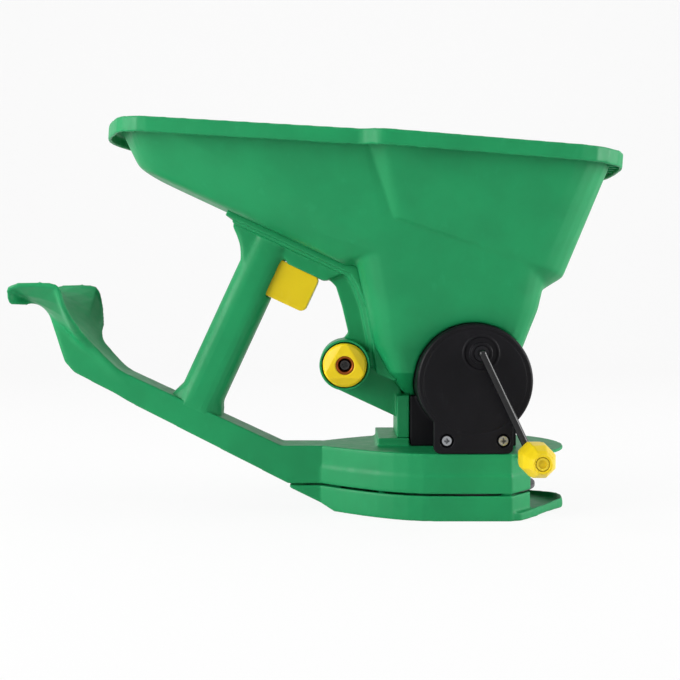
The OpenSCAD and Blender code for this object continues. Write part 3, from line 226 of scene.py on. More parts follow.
@dataclass(frozen=True)
class MouldedPlastic:
    """Injection-moulded plastic with mould grain, handling marks and paler edges.

    Attributes:
        slot: The record's slot that this finish belongs to.
        colour: Linear colour of the plastic.
        edge: Linear colour of rubbed edges.
        roughness: Middle roughness.
        spread: How far the roughness wanders.
        grain_mm: Size of the mould grain.
        grain_depth_mm: Depth of the mould grain.
        cloud_mm: Size of the wide clouds over which the colour wanders.
        cloud_depth_mm: Depth of the slow waves that go with them.
        drift: How far the colour wanders.
        speck_mm: Size of the dark specks.
        speck_share: How much of a speck's colour shows.
        speck_tone: A speck's colour as a share of the plastic's.
        scuff_mm: Size of the handling marks.
        scuff_stretch: How much closer the marks lie along X, Y and Z.
        scuff_share: How much of the edge colour shows in a mark.
        wear: How much of the edge colour shows on edges.
        specular: Specular level.
    """

    slot: Slot
    colour: Colour
    edge: Colour
    roughness: float = 0.4
    spread: float = 0.06
    grain_mm: float = 0.55
    grain_depth_mm: float = 0.012
    cloud_mm: float = 38.0
    cloud_depth_mm: float = 0.25
    drift: float = 0.07
    speck_mm: float = 0.9
    speck_share: float = 0.16
    speck_tone: float = 0.8
    scuff_mm: float = 7.0
    scuff_stretch: Point = (1.0, 2.2, 0.35)
    scuff_share: float = 0.1
    wear: float = 0.35
    specular: float = 0.5

    def material(self) -> bpy.types.Material:
        """Writes the material.

        Returns:
            The finished material.
        """
        sheet = ShaderSheet(self.slot.value)
        clouds = sheet.noise(self.cloud_mm, detail=4.0)
        specks = sheet.noise(self.speck_mm, detail=2.0)
        scuffs = sheet.noise(self.scuff_mm, detail=6.0, stretch=self.scuff_stretch)
        grain = sheet.noise(self.grain_mm, detail=2.0)
        specked = sheet.span(specks, 0.0, self.speck_share, start=0.55, end=0.75)
        scuffed = sheet.span(scuffs, 0.0, self.scuff_share, start=0.58, end=0.72)
        rubbed = sheet.span(sheet.edges(0.51, 0.6), 0.0, self.wear, start=0.0, end=1.0)
        darker, lighter = scaled(self.colour, 1.0 - self.drift), scaled(self.colour, 1.0 + self.drift)
        colour = sheet.mix(sheet.span(clouds, 0.0, 1.0), darker, lighter)
        colour = sheet.mix(specked, colour, scaled(self.colour, self.speck_tone))
        colour = sheet.mix(scuffed, colour, self.edge)
        colour = sheet.mix(rubbed, colour, self.edge)
        sheet.join(colour, sheet.shader.inputs["Base Color"])
        rough = sheet.span(scuffs, self.roughness - self.spread, self.roughness + self.spread)
        sheet.join(rough, sheet.shader.inputs["Roughness"])
        sheet.relief(((grain, self.grain_depth_mm), (clouds, self.cloud_depth_mm)))
        sheet.constant(Specular_IOR_Level=self.specular, IOR=1.48)
        return sheet.material


@dataclass(frozen=True)
class Metal:
    """Plain or plated metal with drawing marks, pits and rubbed edges.

    Attributes:
        slot: The record's slot that this finish belongs to.
        colour: Linear colour of the metal.
        dull: Linear colour of its dull spots.
        edge: Linear colour of rubbed edges.
        roughness: Middle roughness.
        spread: How far the roughness falls and rises.
        spot_mm: Size of the dull spots.
        pit_mm: Size of the pits.
        pit_depth_mm: Depth of the pits.
        wear: How much of the edge colour shows on edges.
    """

    slot: Slot
    colour: Colour
    dull: Colour
    edge: Colour
    roughness: float = 0.32
    spread: tuple[float, float] = (-0.08, 0.12)
    spot_mm: float = 2.5
    pit_mm: float = 0.35
    pit_depth_mm: float = 0.01
    wear: float = 0.7

    def material(self) -> bpy.types.Material:
        """Writes the material.

        Returns:
            The finished material.
        """
        sheet = ShaderSheet(self.slot.value)
        spots = sheet.noise(self.spot_mm, detail=5.0)
        pits = sheet.noise(self.pit_mm, detail=2.0)
        dulled = sheet.span(spots, 0.0, 1.0, start=0.42, end=0.66)
        rubbed = sheet.span(sheet.edges(0.52, 0.62), 0.0, self.wear, start=0.0, end=1.0)
        colour = sheet.mix(dulled, self.colour, self.dull)
        colour = sheet.mix(rubbed, colour, self.edge)
        sheet.join(colour, sheet.shader.inputs["Base Color"])
        rough = sheet.span(spots, self.roughness + self.spread[0], self.roughness + self.spread[1])
        sheet.join(rough, sheet.shader.inputs["Roughness"])
        sheet.relief(((pits, self.pit_depth_mm),))
        sheet.constant(Metallic=1.0)
        return sheet.material


@dataclass(frozen=True)
class CoatedSteel:
    """Steel under a black coating that is rubbed through on its edges.

    Attributes:
        slot: The record's slot that this finish belongs to.
        colour: Linear colour of the coating.
        dust: Linear colour of the dull spots.
        bare: Linear colour of the steel on rubbed edges.
        roughness: Middle roughness.
        spread: How far the roughness falls and rises.
        spot_mm: Size of the dull spots.
        spot_share: How much of their colour shows.
        grain_mm: Size of the coating's grain.
        grain_depth_mm: Depth of that grain.
        wear: How much of the bare steel shows on edges.
    """

    slot: Slot
    colour: Colour
    dust: Colour
    bare: Colour = (0.2, 0.2, 0.21)
    roughness: float = 0.34
    spread: tuple[float, float] = (-0.04, 0.08)
    spot_mm: float = 5.0
    spot_share: float = 0.6
    grain_mm: float = 0.8
    grain_depth_mm: float = 0.006
    wear: float = 0.5

    def material(self) -> bpy.types.Material:
        """Writes the material.

        Returns:
            The finished material.
        """
        sheet = ShaderSheet(self.slot.value)
        spots = sheet.noise(self.spot_mm, detail=5.0)
        grain = sheet.noise(self.grain_mm, detail=2.0)
        dusted = sheet.span(spots, 0.0, self.spot_share, start=0.45, end=0.7)
        rubbed = sheet.span(sheet.edges(0.56, 0.68), 0.0, self.wear, start=0.0, end=1.0)
        colour = sheet.mix(dusted, self.colour, self.dust)
        colour = sheet.mix(rubbed, colour, self.bare)
        sheet.join(colour, sheet.shader.inputs["Base Color"])
        rough = sheet.span(spots, self.roughness + self.spread[0], self.roughness + self.spread[1])
        sheet.join(rough, sheet.shader.inputs["Roughness"])
        sheet.relief(((grain, self.grain_depth_mm),))
        sheet.constant(Specular_IOR_Level=0.35)
        return sheet.material


FINISHES = (
    MouldedPlastic(
        Slot.GREEN, colour=(0.008, 0.250, 0.084), edge=(0.03, 0.38, 0.15), roughness=0.48, specular=0.26
    ),
    MouldedPlastic(
        Slot.YELLOW,
        colour=(0.79, 0.57, 0.010),
        edge=(0.88, 0.72, 0.10),
        roughness=0.36,
        drift=0.04,
        wear=0.25,
        specular=0.25,
    ),
    MouldedPlastic(
        Slot.BLACK,
        colour=(0.0055, 0.0052, 0.0066),
        edge=(0.03, 0.03, 0.034),
        roughness=0.42,
        drift=0.2,
        specular=0.12,
    ),
    MouldedPlastic(
        Slot.GREY, colour=(0.045, 0.044, 0.048), edge=(0.10, 0.10, 0.105), roughness=0.48, drift=0.15
    ),
    MouldedPlastic(
        Slot.ACETAL, colour=(0.72, 0.69, 0.60), edge=(0.80, 0.78, 0.70), roughness=0.38, drift=0.03, wear=0.2
    ),
    Metal(
        Slot.STEEL,
        colour=(0.15, 0.155, 0.165),
        dull=(0.06, 0.062, 0.068),
        edge=(0.42, 0.43, 0.45),
        roughness=0.28,
    ),
    CoatedSteel(Slot.BLACK_STEEL, colour=(0.004, 0.004, 0.005), dust=(0.010, 0.010, 0.010), roughness=0.17),
    # Dark red-brown for the bronze bushes. It is also painted shade in the dial's well: the washer and lining
    # there stand in for the yellow walls in shadow.
    Metal(
        Slot.BRONZE,
        colour=(0.19, 0.034, 0.006),
        dull=(0.08, 0.012, 0.003),
        edge=(0.34, 0.09, 0.02),
        roughness=0.36,
        spot_mm=1.6,
        pit_mm=0.3,
        pit_depth_mm=0.03,
    ),
)


class Palette:
    """Every finish of the spreader, written once and shared."""

    def __init__(self) -> None:
        """Writes the materials."""
        self.materials = {finish.slot: finish.material() for finish in FINISHES}

    def dress(self, piece: bpy.types.Object, slot: Slot) -> None:
        """Gives a piece its finish.

        Args:
            piece: The piece.
            slot: The slot that names its finish.
        """
        piece.data.materials.clear()
        piece.data.materials.append(self.materials[slot])


class MeshShop:
    """Ways to make meshes, shared by the sub-assemblies."""

    @staticmethod
    def piece(name: str, build: Callable[[bmesh.types.BMesh], None]) -> bpy.types.Object:
        """Makes an object from mesh code.

        Args:
            name: The object's name.
            build: Fills the empty mesh.

        Returns:
            The new object, shaded smooth.
        """
        bm = bmesh.new()
        build(bm)
        bmesh.ops.recalc_face_normals(bm, faces=bm.faces)
        mesh = bpy.data.meshes.new(name)
        bm.to_mesh(mesh)
        bm.free()
        mesh.shade_smooth()
        made = bpy.data.objects.new(name, mesh)
        bpy.context.scene.collection.objects.link(made)
        return made

    @staticmethod
    def settle(piece: bpy.types.Object) -> None:
        """Turns an object's modifiers into its mesh.

        Args:
            piece: The object.
        """
        shaped = piece.evaluated_get(bpy.context.evaluated_depsgraph_get())
        mesh = bpy.data.meshes.new_from_object(shaped)
        old, piece.data = piece.data, mesh
        piece.modifiers.clear()
        bpy.data.meshes.remove(old)

    @staticmethod
    def smooth(piece: bpy.types.Object, passes: int, group: str = "") -> None:
        """Smooths an object's mesh.

        Args:
            piece: The object.
            passes: Smoothing passes.
            group: Vertex group that weighs them, or nothing for the whole mesh.
        """
        smooth = piece.modifiers.new("smooth", "SMOOTH")
        smooth.factor = 0.5
        smooth.iterations = passes
        smooth.vertex_group = group
        MeshShop.settle(piece)

    @staticmethod
    def points(piece: bpy.types.Object) -> np.ndarray:
        """Reads the places of an object's corners.

        Args:
            piece: The object.

        Returns:
            One row of X, Y and Z for each corner, in metres.
        """
        flat = np.empty(len(piece.data.vertices) * 3, np.float32)
        piece.data.vertices.foreach_get("co", flat)
        return flat.reshape(-1, 3).astype(float)

    @staticmethod
    def move(piece: bpy.types.Object, points: np.ndarray) -> None:
        """Puts an object's corners at other places, in metres."""
        piece.data.vertices.foreach_set("co", points.astype(np.float32).ravel())
        piece.data.update()

    @staticmethod
    def faces(piece: bpy.types.Object) -> BVHTree:
        """An object's faces, to find places on them."""
        mesh = piece.data
        return BVHTree.FromPolygons([v.co for v in mesh.vertices], [tuple(f.vertices) for f in mesh.polygons])

    @staticmethod
    def copy_of(node: str, name: str) -> bpy.types.Object:
        """Copies a solid's mesh into a new object, with its seams closed.

        Args:
            node: The solid's node.
            name: The new object's name.

        Returns:
            The copy, which the solid doesn't share.
        """
        mesh = bpy.data.meshes.new(name)
        bm = bmesh.new()
        bm.from_mesh(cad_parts[node].data)
        bmesh.ops.remove_doubles(bm, verts=bm.verts, dist=2e-6)
        bm.to_mesh(mesh)
        bm.free()
        made = bpy.data.objects.new(name, mesh)
        bpy.context.scene.collection.objects.link(made)
        return made

    @staticmethod
    def extend(piece: bpy.types.Object, fill: Callable[[bmesh.types.BMesh], None]) -> None:
        """Adds forms to an object's mesh.

        Args:
            piece: The object.
            fill: Adds closed forms to an empty mesh.
        """
        forms = bmesh.new()
        fill(forms)
        bmesh.ops.recalc_face_normals(forms, faces=forms.faces)
        added = bpy.data.meshes.new("forms")
        forms.to_mesh(added)
        forms.free()
        bm = bmesh.new()
        bm.from_mesh(piece.data)
        bm.from_mesh(added)
        bm.to_mesh(piece.data)
        bm.free()
        bpy.data.meshes.remove(added)

    @staticmethod
    def strip(bm: bmesh.types.BMesh, rings: Sequence[Sequence[Vector]]) -> None:
        """Adds a closed form that runs through rings of points.

        Args:
            bm: The mesh to add to.
            rings: Rings of equally many points.
        """
        rows = [[bm.verts.new(place) for place in ring] for ring in rings]
        count = len(rows[0])
        for low, high in zip(rows, rows[1:]):
            for k in range(count):
                bm.faces.new((low[k], low[(k + 1) % count], high[(k + 1) % count], high[k]))
        bm.faces.new(rows[0])
        bm.faces.new(rows[-1])

    @staticmethod
    def tube(bm: bmesh.types.BMesh, path: Sequence[Vector], radius: float, sides: int = 10) -> None:
        """Adds a round tube along a path, with closed ends.

        Args:
            bm: The mesh to add to.
            path: Points along the middle of the tube.
            radius: The tube's radius.
            sides: Corners of its section.
        """
        rings = []
        side = None
        for i, here in enumerate(path):
            ahead = (path[min(i + 1, len(path) - 1)] - path[max(i - 1, 0)]).normalized()
            side = ahead.orthogonal() if side is None else side - ahead * side.dot(ahead)
            side.normalize()
            across = ahead.cross(side)
            turns = [2 * math.pi * k / sides for k in range(sides)]
            rings.append([here + radius * (math.cos(t) * side + math.sin(t) * across) for t in turns])
        MeshShop.strip(bm, rings)


@dataclass(frozen=True)
class Fade:
    """A soft step between two values.

    Attributes:
        start: Value that gives 0.
        end: Value that gives 1, on either side of start.
    """

    start: float
    end: float

    def at(self, values: float | np.ndarray) -> float | np.ndarray:
        """Maps values onto the step.

        Args:
            values: The values to map.

        Returns:
            Shares from 0 to 1.
        """
        share = np.clip((values - self.start) / (self.end - self.start), 0.0, 1.0)
        return share * share * (3.0 - 2.0 * share)


@dataclass(frozen=True)
class SoftZone:
    """A place where a moulding's creases melt into one another.

    Attributes:
        passes: Smoothing passes at full weight.
        weight: Gives the share of the smoothing, from 0 to 1, for points in millimetres.
        levels: Steps of the weight.
    """

    passes: int
    weight: Callable[[np.ndarray], np.ndarray]
    levels: int = 16

    def melt(self, piece: bpy.types.Object) -> None:
        """Smooths a piece by the zone's weight.

        Args:
            piece: The piece.
        """
        steps = np.rint(self.weight(MeshShop.points(piece) / MM) * self.levels).astype(int)
        group = piece.vertex_groups.new(name="soft")
        for level in range(1, self.levels + 1):
            group.add(np.flatnonzero(steps == level).tolist(), level / self.levels, "REPLACE")
        MeshShop.smooth(piece, self.passes, group.name)
        piece.vertex_groups.clear()


@dataclass
class Moulding:
    """A solid's copy with the soft edges that a mould gives.

    Attributes:
        node: The solid that it stands for.
        body: The body that it rides on.
        slot: Its finish.
        voxel_mm: Fineness of the new surface.
        passes: Smoothing passes, which set the roundness of the edges.
        faces: Most triangles to keep.
        soft: Places whose creases are melted first.
        extra: Adds closed forms that the surface takes in.
    """

    node: str
    body: Body
    slot: Slot
    voxel_mm: float = 1.0
    passes: int = 6
    faces: int = 60000
    soft: Sequence[SoftZone] = ()
    extra: Callable[[bmesh.types.BMesh], None] | None = None

    def build(self) -> bpy.types.Object:
        """Rounds a copy of the solid.

        Returns:
            The moulding, which replaces its node.
        """
        piece = MeshShop.copy_of(self.node, f"{self.node}_moulding")
        if self.extra is not None:
            MeshShop.extend(piece, self.extra)
        remesh = piece.modifiers.new("surface", "REMESH")
        remesh.mode = "VOXEL"
        remesh.voxel_size = self.voxel_mm * MM
        MeshShop.settle(piece)
        for zone in self.soft:
            zone.melt(piece)
        MeshShop.smooth(piece, self.passes)
        triangles = sum(len(p.vertices) - 2 for p in piece.data.polygons)
        if triangles > self.faces:
            thin = piece.modifiers.new("thin", "DECIMATE")
            thin.ratio = self.faces / triangles
            MeshShop.settle(piece)
        piece.data.shade_smooth()
        even = piece.modifiers.new("even", "WEIGHTED_NORMAL")
        even.weight = 80
        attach(piece, self.body.value)
        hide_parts(self.node)
        return piece


@dataclass
class SubAssembly:
    """A group of pieces that are built and dressed together.

    Attributes:
        made: Each finished piece with its slot.
    """

    made: list[tuple[bpy.types.Object, Slot]] = field(default_factory=list)

    def mouldings(self) -> Sequence[Moulding]:
        """The solids that get soft edges."""
        return ()

    def kept(self) -> dict[str, Slot]:
        """The solids that are shown as they are, with their finishes."""
        return {}

    def details(self) -> None:
        """Adds the pieces that the solids don't have."""

    def add(self, piece: bpy.types.Object, slot: Slot) -> None:
        """Takes a piece into the group."""
        self.made.append((piece, slot))
        LOG.info("%s: %s, %d faces", type(self).__name__, piece.name, len(piece.data.polygons))

    def build(self) -> None:
        """Makes every piece of the group."""
        for moulding in self.mouldings():
            self.add(moulding.build(), moulding.slot)
        for node, slot in self.kept().items():
            self.add(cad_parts[node], slot)
        self.details()

    def piece_for(self, node: str) -> bpy.types.Object:
        """The built piece that stands for a node."""
        return next(piece for piece, _ in self.made if piece.name == f"{node}_moulding")

    def dress(self, palette: Palette) -> None:
        """Gives every piece its finish.

        Args:
            palette: The spreader's finishes.
        """
        for piece, slot in self.made:
            palette.dress(piece, slot)


@dataclass
class HandleFrame:
    """The handle's own directions, which the slope of the beam and the trigger set.

    Attributes:
        start: Middle of the trigger's front face.
        slope: Slope of the trigger's slide, in degrees.
    """

    start: Point = (-118.5, 0.0, 162.0)
    slope: float = 25.0

    def matrix(self) -> Matrix:
        """The way from the handle's millimetres to the part's metres."""
        return (
            Matrix.Scale(MM, 4)
            @ Matrix.Translation(self.start)
            @ Matrix.Rotation(math.radians(self.slope), 4, "Y")
        )


@dataclass
class Hopper(SubAssembly):
    """The seed bin with its turned-down rim.

    Attributes:
        voxel_mm: Fineness of the bin's surface.
        rim_mm: Height of the rim's top over the disc's axis.
        rim_slope: Slope of the rim, in degrees.
        rim_depth_mm: Depth of the hollow under the rim.
        rib_mm: Thickness of the ribs in that hollow.
        rib_top_mm: Depth of the ribs' tops under the rim's top.
        rib_round_mm: Roundness of the ribs' edges.
        front_ribs: Distance of each front rib from the middle plane.
        side_ribs: Distance of each side rib ahead of the disc's axis.
        rib_level_mm: Depth under the rim's top at which the hollow is looked for.
        rim_front_mm: Reach of the rim ahead of the disc's axis.
        melt_passes: Smoothing passes of the bin's creases.
        pocket_mm: Height and radius of the pocket for the gear case.
        off_rim: Depth under the rim over which the melting sets in.
        off_spout: Height over which it sets in above the spout.
        off_pocket: Distance from the pocket over which it sets in.
        trough: Place along the part over which it becomes full.
        under_box: Height over which it grows in front of the trough.
        front_shares: Least share in front of the trough, and what is added under the box.
        crease_mm: Height of the upper box's bottom over the disc's axis.
        crease_slope: Slope of that bottom, in degrees.
        shoulder_fall: Slope of the fillet under the box, in degrees.
        shoulder_turn: How far the fillet runs round to each side of the front, in degrees.
        shoulder_step: Degrees from one of its sections to the next.
        shoulder_look_mm: Distance over the box's bottom at which the wall is looked for.
        shoulder_in_mm: Distance of the fillet's edge inside the box's wall.
        shoulder_drop_mm: Distance of that edge under the place where the wall is found.
        shoulder_lap_mm: How far the fillet laps into the bin's wall.
    """

    voxel_mm: float = 1.0
    rim_mm: float = 267.0
    rim_slope: float = 4.0
    rim_depth_mm: float = 9.0
    rib_mm: float = 1.6
    rib_top_mm: float = 1.6
    rib_round_mm: float = 0.3
    front_ribs: Sequence[float] = (-54.0, -42.0, -30.0, -18.0, -6.0, 6.0, 18.0, 30.0, 42.0, 54.0)
    side_ribs: Sequence[float] = (-240.0, -210.0, -180.0, -150.0, -120.0, -40.0, -10.0, 20.0, 50.0, 72.0)
    rib_level_mm: float = 6.0
    rim_front_mm: float = 104.0
    melt_passes: int = 220
    pocket_mm: tuple[float, float] = (99.4, 41.0)
    off_rim: Fade = Fade(17.0, 34.0)
    off_spout: Fade = Fade(100.0, 122.0)
    off_pocket: Fade = Fade(4.0, 16.0)
    trough: Fade = Fade(-100.0, -128.0)
    under_box: Fade = Fade(200.0, 184.0)
    front_shares: tuple[float, float] = (0.02, 0.1)
    crease_mm: float = 195.5
    crease_slope: float = 18.5
    shoulder_fall: float = 42.0
    shoulder_turn: int = 126
    shoulder_step: int = 2
    shoulder_look_mm: float = 3.0
    shoulder_in_mm: float = 1.6
    shoulder_drop_mm: float = 2.6
    shoulder_lap_mm: float = 1.2

    def mouldings(self) -> Sequence[Moulding]:
        """The bin."""
        soft = (SoftZone(self.melt_passes, self.melted),)
        return (
            Moulding(
                "hopper",
                Body.BODY,
                Slot.GREEN,
                voxel_mm=self.voxel_mm,
                passes=5,
                faces=150000,
                soft=soft,
                extra=self.shoulder,
            ),
        )

    def melted(self, points: np.ndarray) -> np.ndarray:
        """How far each place of the bin is melted.

        Args:
            points: Places in millimetres.

        Returns:
            Shares from 0 at the rim, the pocket and the spout to 1 along the trough.
        """
        x, _, z = points.T
        height, radius = self.pocket_mm
        off_edges = self.off_rim.at(self.rim_top(x) - z) * self.off_spout.at(z)
        off_pocket = self.off_pocket.at(np.hypot(x, z - height) - radius)
        trough = self.trough.at(x)
        least, added = self.front_shares
        front = least + added * self.under_box.at(z)
        return off_edges * off_pocket * (trough + (1.0 - trough) * front)

    def kept(self) -> dict[str, Slot]:
        """The screws through its floor."""
        return {"hopper_screws": Slot.STEEL}

    def rim_top(self, x: float | np.ndarray) -> float | np.ndarray:
        """Height of the rim's top at places along the part, in millimetres."""
        return self.rim_mm - math.tan(math.radians(self.rim_slope)) * x

    def shoulder(self, bm: bmesh.types.BMesh) -> None:
        """Fills the mesh with the sloping shoulder under the upper box.

        Args:
            bm: The mesh to fill.
        """
        solid = MeshShop.faces(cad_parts["hopper"])
        fall = math.tan(math.radians(self.crease_slope))
        drop = math.tan(math.radians(self.shoulder_fall))
        lap = Vector((0.0, 0.0, self.shoulder_lap_mm * MM))
        above = Vector((0.0, 0.0, (self.crease_mm + self.shoulder_look_mm) * MM))
        rings = []
        for degrees in range(-self.shoulder_turn, self.shoulder_turn + 1, self.shoulder_step):
            out = Vector((math.cos(math.radians(degrees)), math.sin(math.radians(degrees)), 0.0))
            tilt = Vector((out.x, out.y, -fall * out.x))
            wall = solid.ray_cast(above + tilt * RAY_START, -tilt)[0]
            if wall is None:
                continue
            edge = wall - out * self.shoulder_in_mm * MM - Vector((0.0, 0.0, self.shoulder_drop_mm * MM))
            under = edge - lap
            inner = solid.ray_cast(under, -tilt)[0]
            lower = solid.ray_cast(under, -tilt - Vector((0.0, 0.0, drop)))[0]
            if inner is None or lower is None:
                continue
            # A section is a triangle that reaches a little into the bin's wall
            rings.append([edge, inner - out * MM + lap, lower - out * MM])
        MeshShop.strip(bm, rings)

    def hollow(self, solid: BVHTree, start: Vector, ahead: Vector) -> tuple[Vector, Vector] | None:
        """Finds the hollow under the rim from outside.

        Args:
            solid: The bin's faces.
            start: A point outside the rim, in metres.
            ahead: The way inwards.

        Returns:
            The two ends of the hollow, or None where the rim isn't met.
        """
        hits = []
        here = start.copy()
        while len(hits) < 3:
            place = solid.ray_cast(here, ahead)[0]
            if place is None:
                return None
            hits.append(place)
            here = place + ahead * RAY_STEP
        # The first hit is the rim's outside, and the hollow lies between the next two
        return hits[1], hits[2]

    def rib(self, bm: bmesh.types.BMesh, ends: tuple[Vector, Vector], top: float) -> None:
        """Adds one rib across the hollow.

        Args:
            bm: The mesh to add to.
            ends: The two ends of the hollow.
            top: Height of the rim's top there, in millimetres.
        """
        along = (ends[1] - ends[0]).normalized()
        across = along.cross(Vector((0, 0, 1))) * self.rib_mm * MM / 2
        low, high = (top - self.rim_depth_mm) * MM, (top - self.rib_top_mm) * MM
        corners = []
        for end, reach in ((ends[0], -1.0), (ends[1], 1.0)):
            foot = end + along * reach * MM
            for side in (-1.0, 1.0):
                for z in (low, high):
                    corners.append(bm.verts.new((foot.x + side * across.x, foot.y + side * across.y, z)))
        bmesh.ops.convex_hull(bm, input=corners)

    def details(self) -> None:
        """Adds the ribs in the hollow under the rim."""
        solid = MeshShop.faces(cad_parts["hopper"])

        def ribs(bm: bmesh.types.BMesh) -> None:
            """Fills the mesh with the ribs.

            Args:
                bm: The mesh to fill.
            """
            ways = []
            for y in self.front_ribs:
                ways.append((self.rim_front_mm, Vector((RAY_START, y * MM, 0.0)), Vector((-1, 0, 0))))
            for x in self.side_ribs:
                for side in (-1.0, 1.0):
                    ways.append((x, Vector((x * MM, side * RAY_START, 0.0)), Vector((0, -side, 0))))
            for x, start, ahead in ways:
                top = self.rim_top(x)
                start.z = (top - self.rib_level_mm) * MM
                ends = self.hollow(solid, start, ahead)
                if ends is not None:
                    self.rib(bm, ends, top)

        piece = MeshShop.piece("rim_ribs", ribs)
        soften = piece.modifiers.new("soften", "BEVEL")
        soften.width = self.rib_round_mm * MM
        soften.segments = 2
        MeshShop.settle(piece)
        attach(piece, Body.BODY.value)
        self.add(piece, Slot.GREEN)


@dataclass
class Base(SubAssembly):
    """The cradle, beam and deck in one moulding, with the pan under the deck.

    Attributes:
        voxel_mm: Fineness of the surfaces.
        cradle_rear_mm: Reach of the cradle behind the disc's axis.
        cradle_low_mm: Height that the cradle's sections start from.
        cradle_rise_mm: Rise from there to the wing tips.
        sections: Sections across the cradle, front to rear: distances from its rear end in the middle and at
            the edge, half width, and heights in the middle and at the edge as shares of the rise.
        bow_power: How late a section rises from its middle towards its edge.
        under_way: Rearward and downward way from the sheet's top to its underside.
        bead_mm: Radius of the bead along the wings' edges.
        bead_in_mm: Distance of the bead's middle from the edge.
        bead_sink: Depth of its middle under the sheet's top, as a share of its radius.
        lip_mm: Height in the middle, height at the ends and thickness of the lip that is rolled down along
            the rear edge.
        lip_reach: Share of the rear edge that the lip covers.
        lip_power: How late its height grows towards the ends.
        lip_round: Share of its half length over which an end is rounded.
        lip_ends: Thickness and height at the very ends, as shares of the full ones.
        lip_back: How far it is set rearward, as a share of its thickness.
        lip_over_mm: How far its top stands over the sheet.
        lip_steps: Sections of each half of the lip.
        lip_sides: Corners of a section.
        melt_passes: Smoothing passes where the wings run out into the beam, and of the pan's nose.
        melt_along: Place along the part over which the melting of the wings sets in.
        melt_across: Distance from the middle plane over which it fades.
        nose: Place along the part over which the melting of the pan's nose sets in.
        nose_rise_mm: How far the edge of the nose is turned up.
        nose_along: Place along the part over which the edge rises.
        nose_up: Height over which it takes part in the rise.
        nose_wall: Height over which the walls behind it don't.
    """

    voxel_mm: float = 1.0
    cradle_rear_mm: float = 331.0
    cradle_low_mm: float = 105.0
    cradle_rise_mm: float = 65.0
    sections: Sequence[tuple[float, float, float, float, float]] = (
        (81.0, 81.0, 14.5, -0.1, -0.1),
        (69.0, 69.0, 16.6, 0.0, 0.035),
        (61.0, 60.0, 18.5, 0.11, 0.185),
        (54.0, 52.0, 20.0, 0.20, 0.33),
        (50.0, 48.5, 27.8, 0.26, 0.44),
        (47.0, 46.0, 40.0, 0.31, 0.54),
        (44.0, 43.5, 49.9, 0.355, 0.65),
        (41.0, 41.0, 56.8, 0.40, 0.79),
        (37.0, 37.0, 58.0, 0.47, 0.975),
        (29.0, 25.0, 58.0, 0.595, 1.0),
        (21.0, 9.0, 58.0, 0.74, 0.985),
        (15.0, 2.0, 56.0, 0.835, 0.94),
    )
    bow_power: float = 2.2
    under_way: tuple[float, float] = (0.45, 0.9)
    bead_mm: float = 1.8
    bead_in_mm: float = 1.2
    bead_sink: float = 0.9
    lip_mm: tuple[float, float, float] = (6.0, 13.0, 4.0)
    lip_reach: float = 0.985
    lip_power: float = 1.5
    lip_round: float = 0.07
    lip_ends: tuple[float, float] = (0.25, 0.45)
    lip_back: float = 0.2
    lip_over_mm: float = 0.8
    lip_steps: int = 36
    lip_sides: int = 20
    melt_passes: int = 60
    melt_along: Fade = Fade(-252.0, -268.0)
    melt_across: Fade = Fade(40.0, 28.0)
    nose: Fade = Fade(46.0, 58.0)
    nose_rise_mm: float = 4.5
    nose_along: Fade = Fade(40.0, 70.0)
    nose_up: Fade = Fade(2.5, 6.0)
    nose_wall: Fade = Fade(14.0, 8.0)

    def mouldings(self) -> Sequence[Moulding]:
        """The two green mouldings.

        Returns:
            The frame with cradle, beam and deck, and the pan.
        """
        wings = (SoftZone(self.melt_passes, self.melted),)
        nose = (SoftZone(self.melt_passes, self.nose_melted),)
        return (
            Moulding(
                "base_frame",
                Body.BODY,
                Slot.GREEN,
                voxel_mm=self.voxel_mm,
                passes=6,
                faces=110000,
                soft=wings,
                extra=self.edges,
            ),
            Moulding("base_pan", Body.BODY, Slot.GREEN, voxel_mm=0.9, passes=5, faces=60000, soft=nose),
        )

    def kept(self) -> dict[str, Slot]:
        """Screws and the lower bush."""
        return {"base_pan_screws": Slot.STEEL, "shaft_lower_bush": Slot.BRONZE}

    def melted(self, points: np.ndarray) -> np.ndarray:
        """How far each place of the base is melted.

        Args:
            points: Places in millimetres.

        Returns:
            Shares from 0 on the deck to 1 where the wings meet the beam.
        """
        x, y, _ = points.T
        return self.melt_along.at(x) * self.melt_across.at(np.abs(y))

    def nose_melted(self, points: np.ndarray) -> np.ndarray:
        """How far each place of the pan, in millimetres, is melted: its nose only."""
        return self.nose.at(points[:, 0])

    def cradle_point(self, row: int, share: float, under: float) -> Vector:
        """A place on the cradle's sheet.

        Args:
            row: Which section.
            share: Place across it, from -1 on the near side to 1.
            under: Depth under the sheet's top, in millimetres.

        Returns:
            The place in metres.
        """
        mid, edge, half, low, high = self.sections[row]
        bow = abs(share) ** self.bow_power
        back, down = self.under_way
        x = mid + (edge - mid) * bow - self.cradle_rear_mm
        z = self.cradle_low_mm + self.cradle_rise_mm * (low + (high - low) * bow)
        return Vector((x - back * under, half * share, z - down * under)) * MM

    @staticmethod
    def curve(points: Sequence[Vector], steps: int = 6) -> list[Vector]:
        """Runs a smooth line through points.

        Args:
            points: The points.
            steps: Parts between two points.

        Returns:
            The finer line.
        """
        line = []
        for i in range(len(points) - 1):
            a, b = points[max(i - 1, 0)], points[i]
            c, d = points[i + 1], points[min(i + 2, len(points) - 1)]
            bow, twist = 2 * a - 5 * b + 4 * c - d, 3 * b - a - 3 * c + d
            for k in range(steps):
                t = k / steps
                line.append(0.5 * (2 * b + (c - a) * t + bow * t**2 + twist * t**3))
        return [*line, points[-1]]

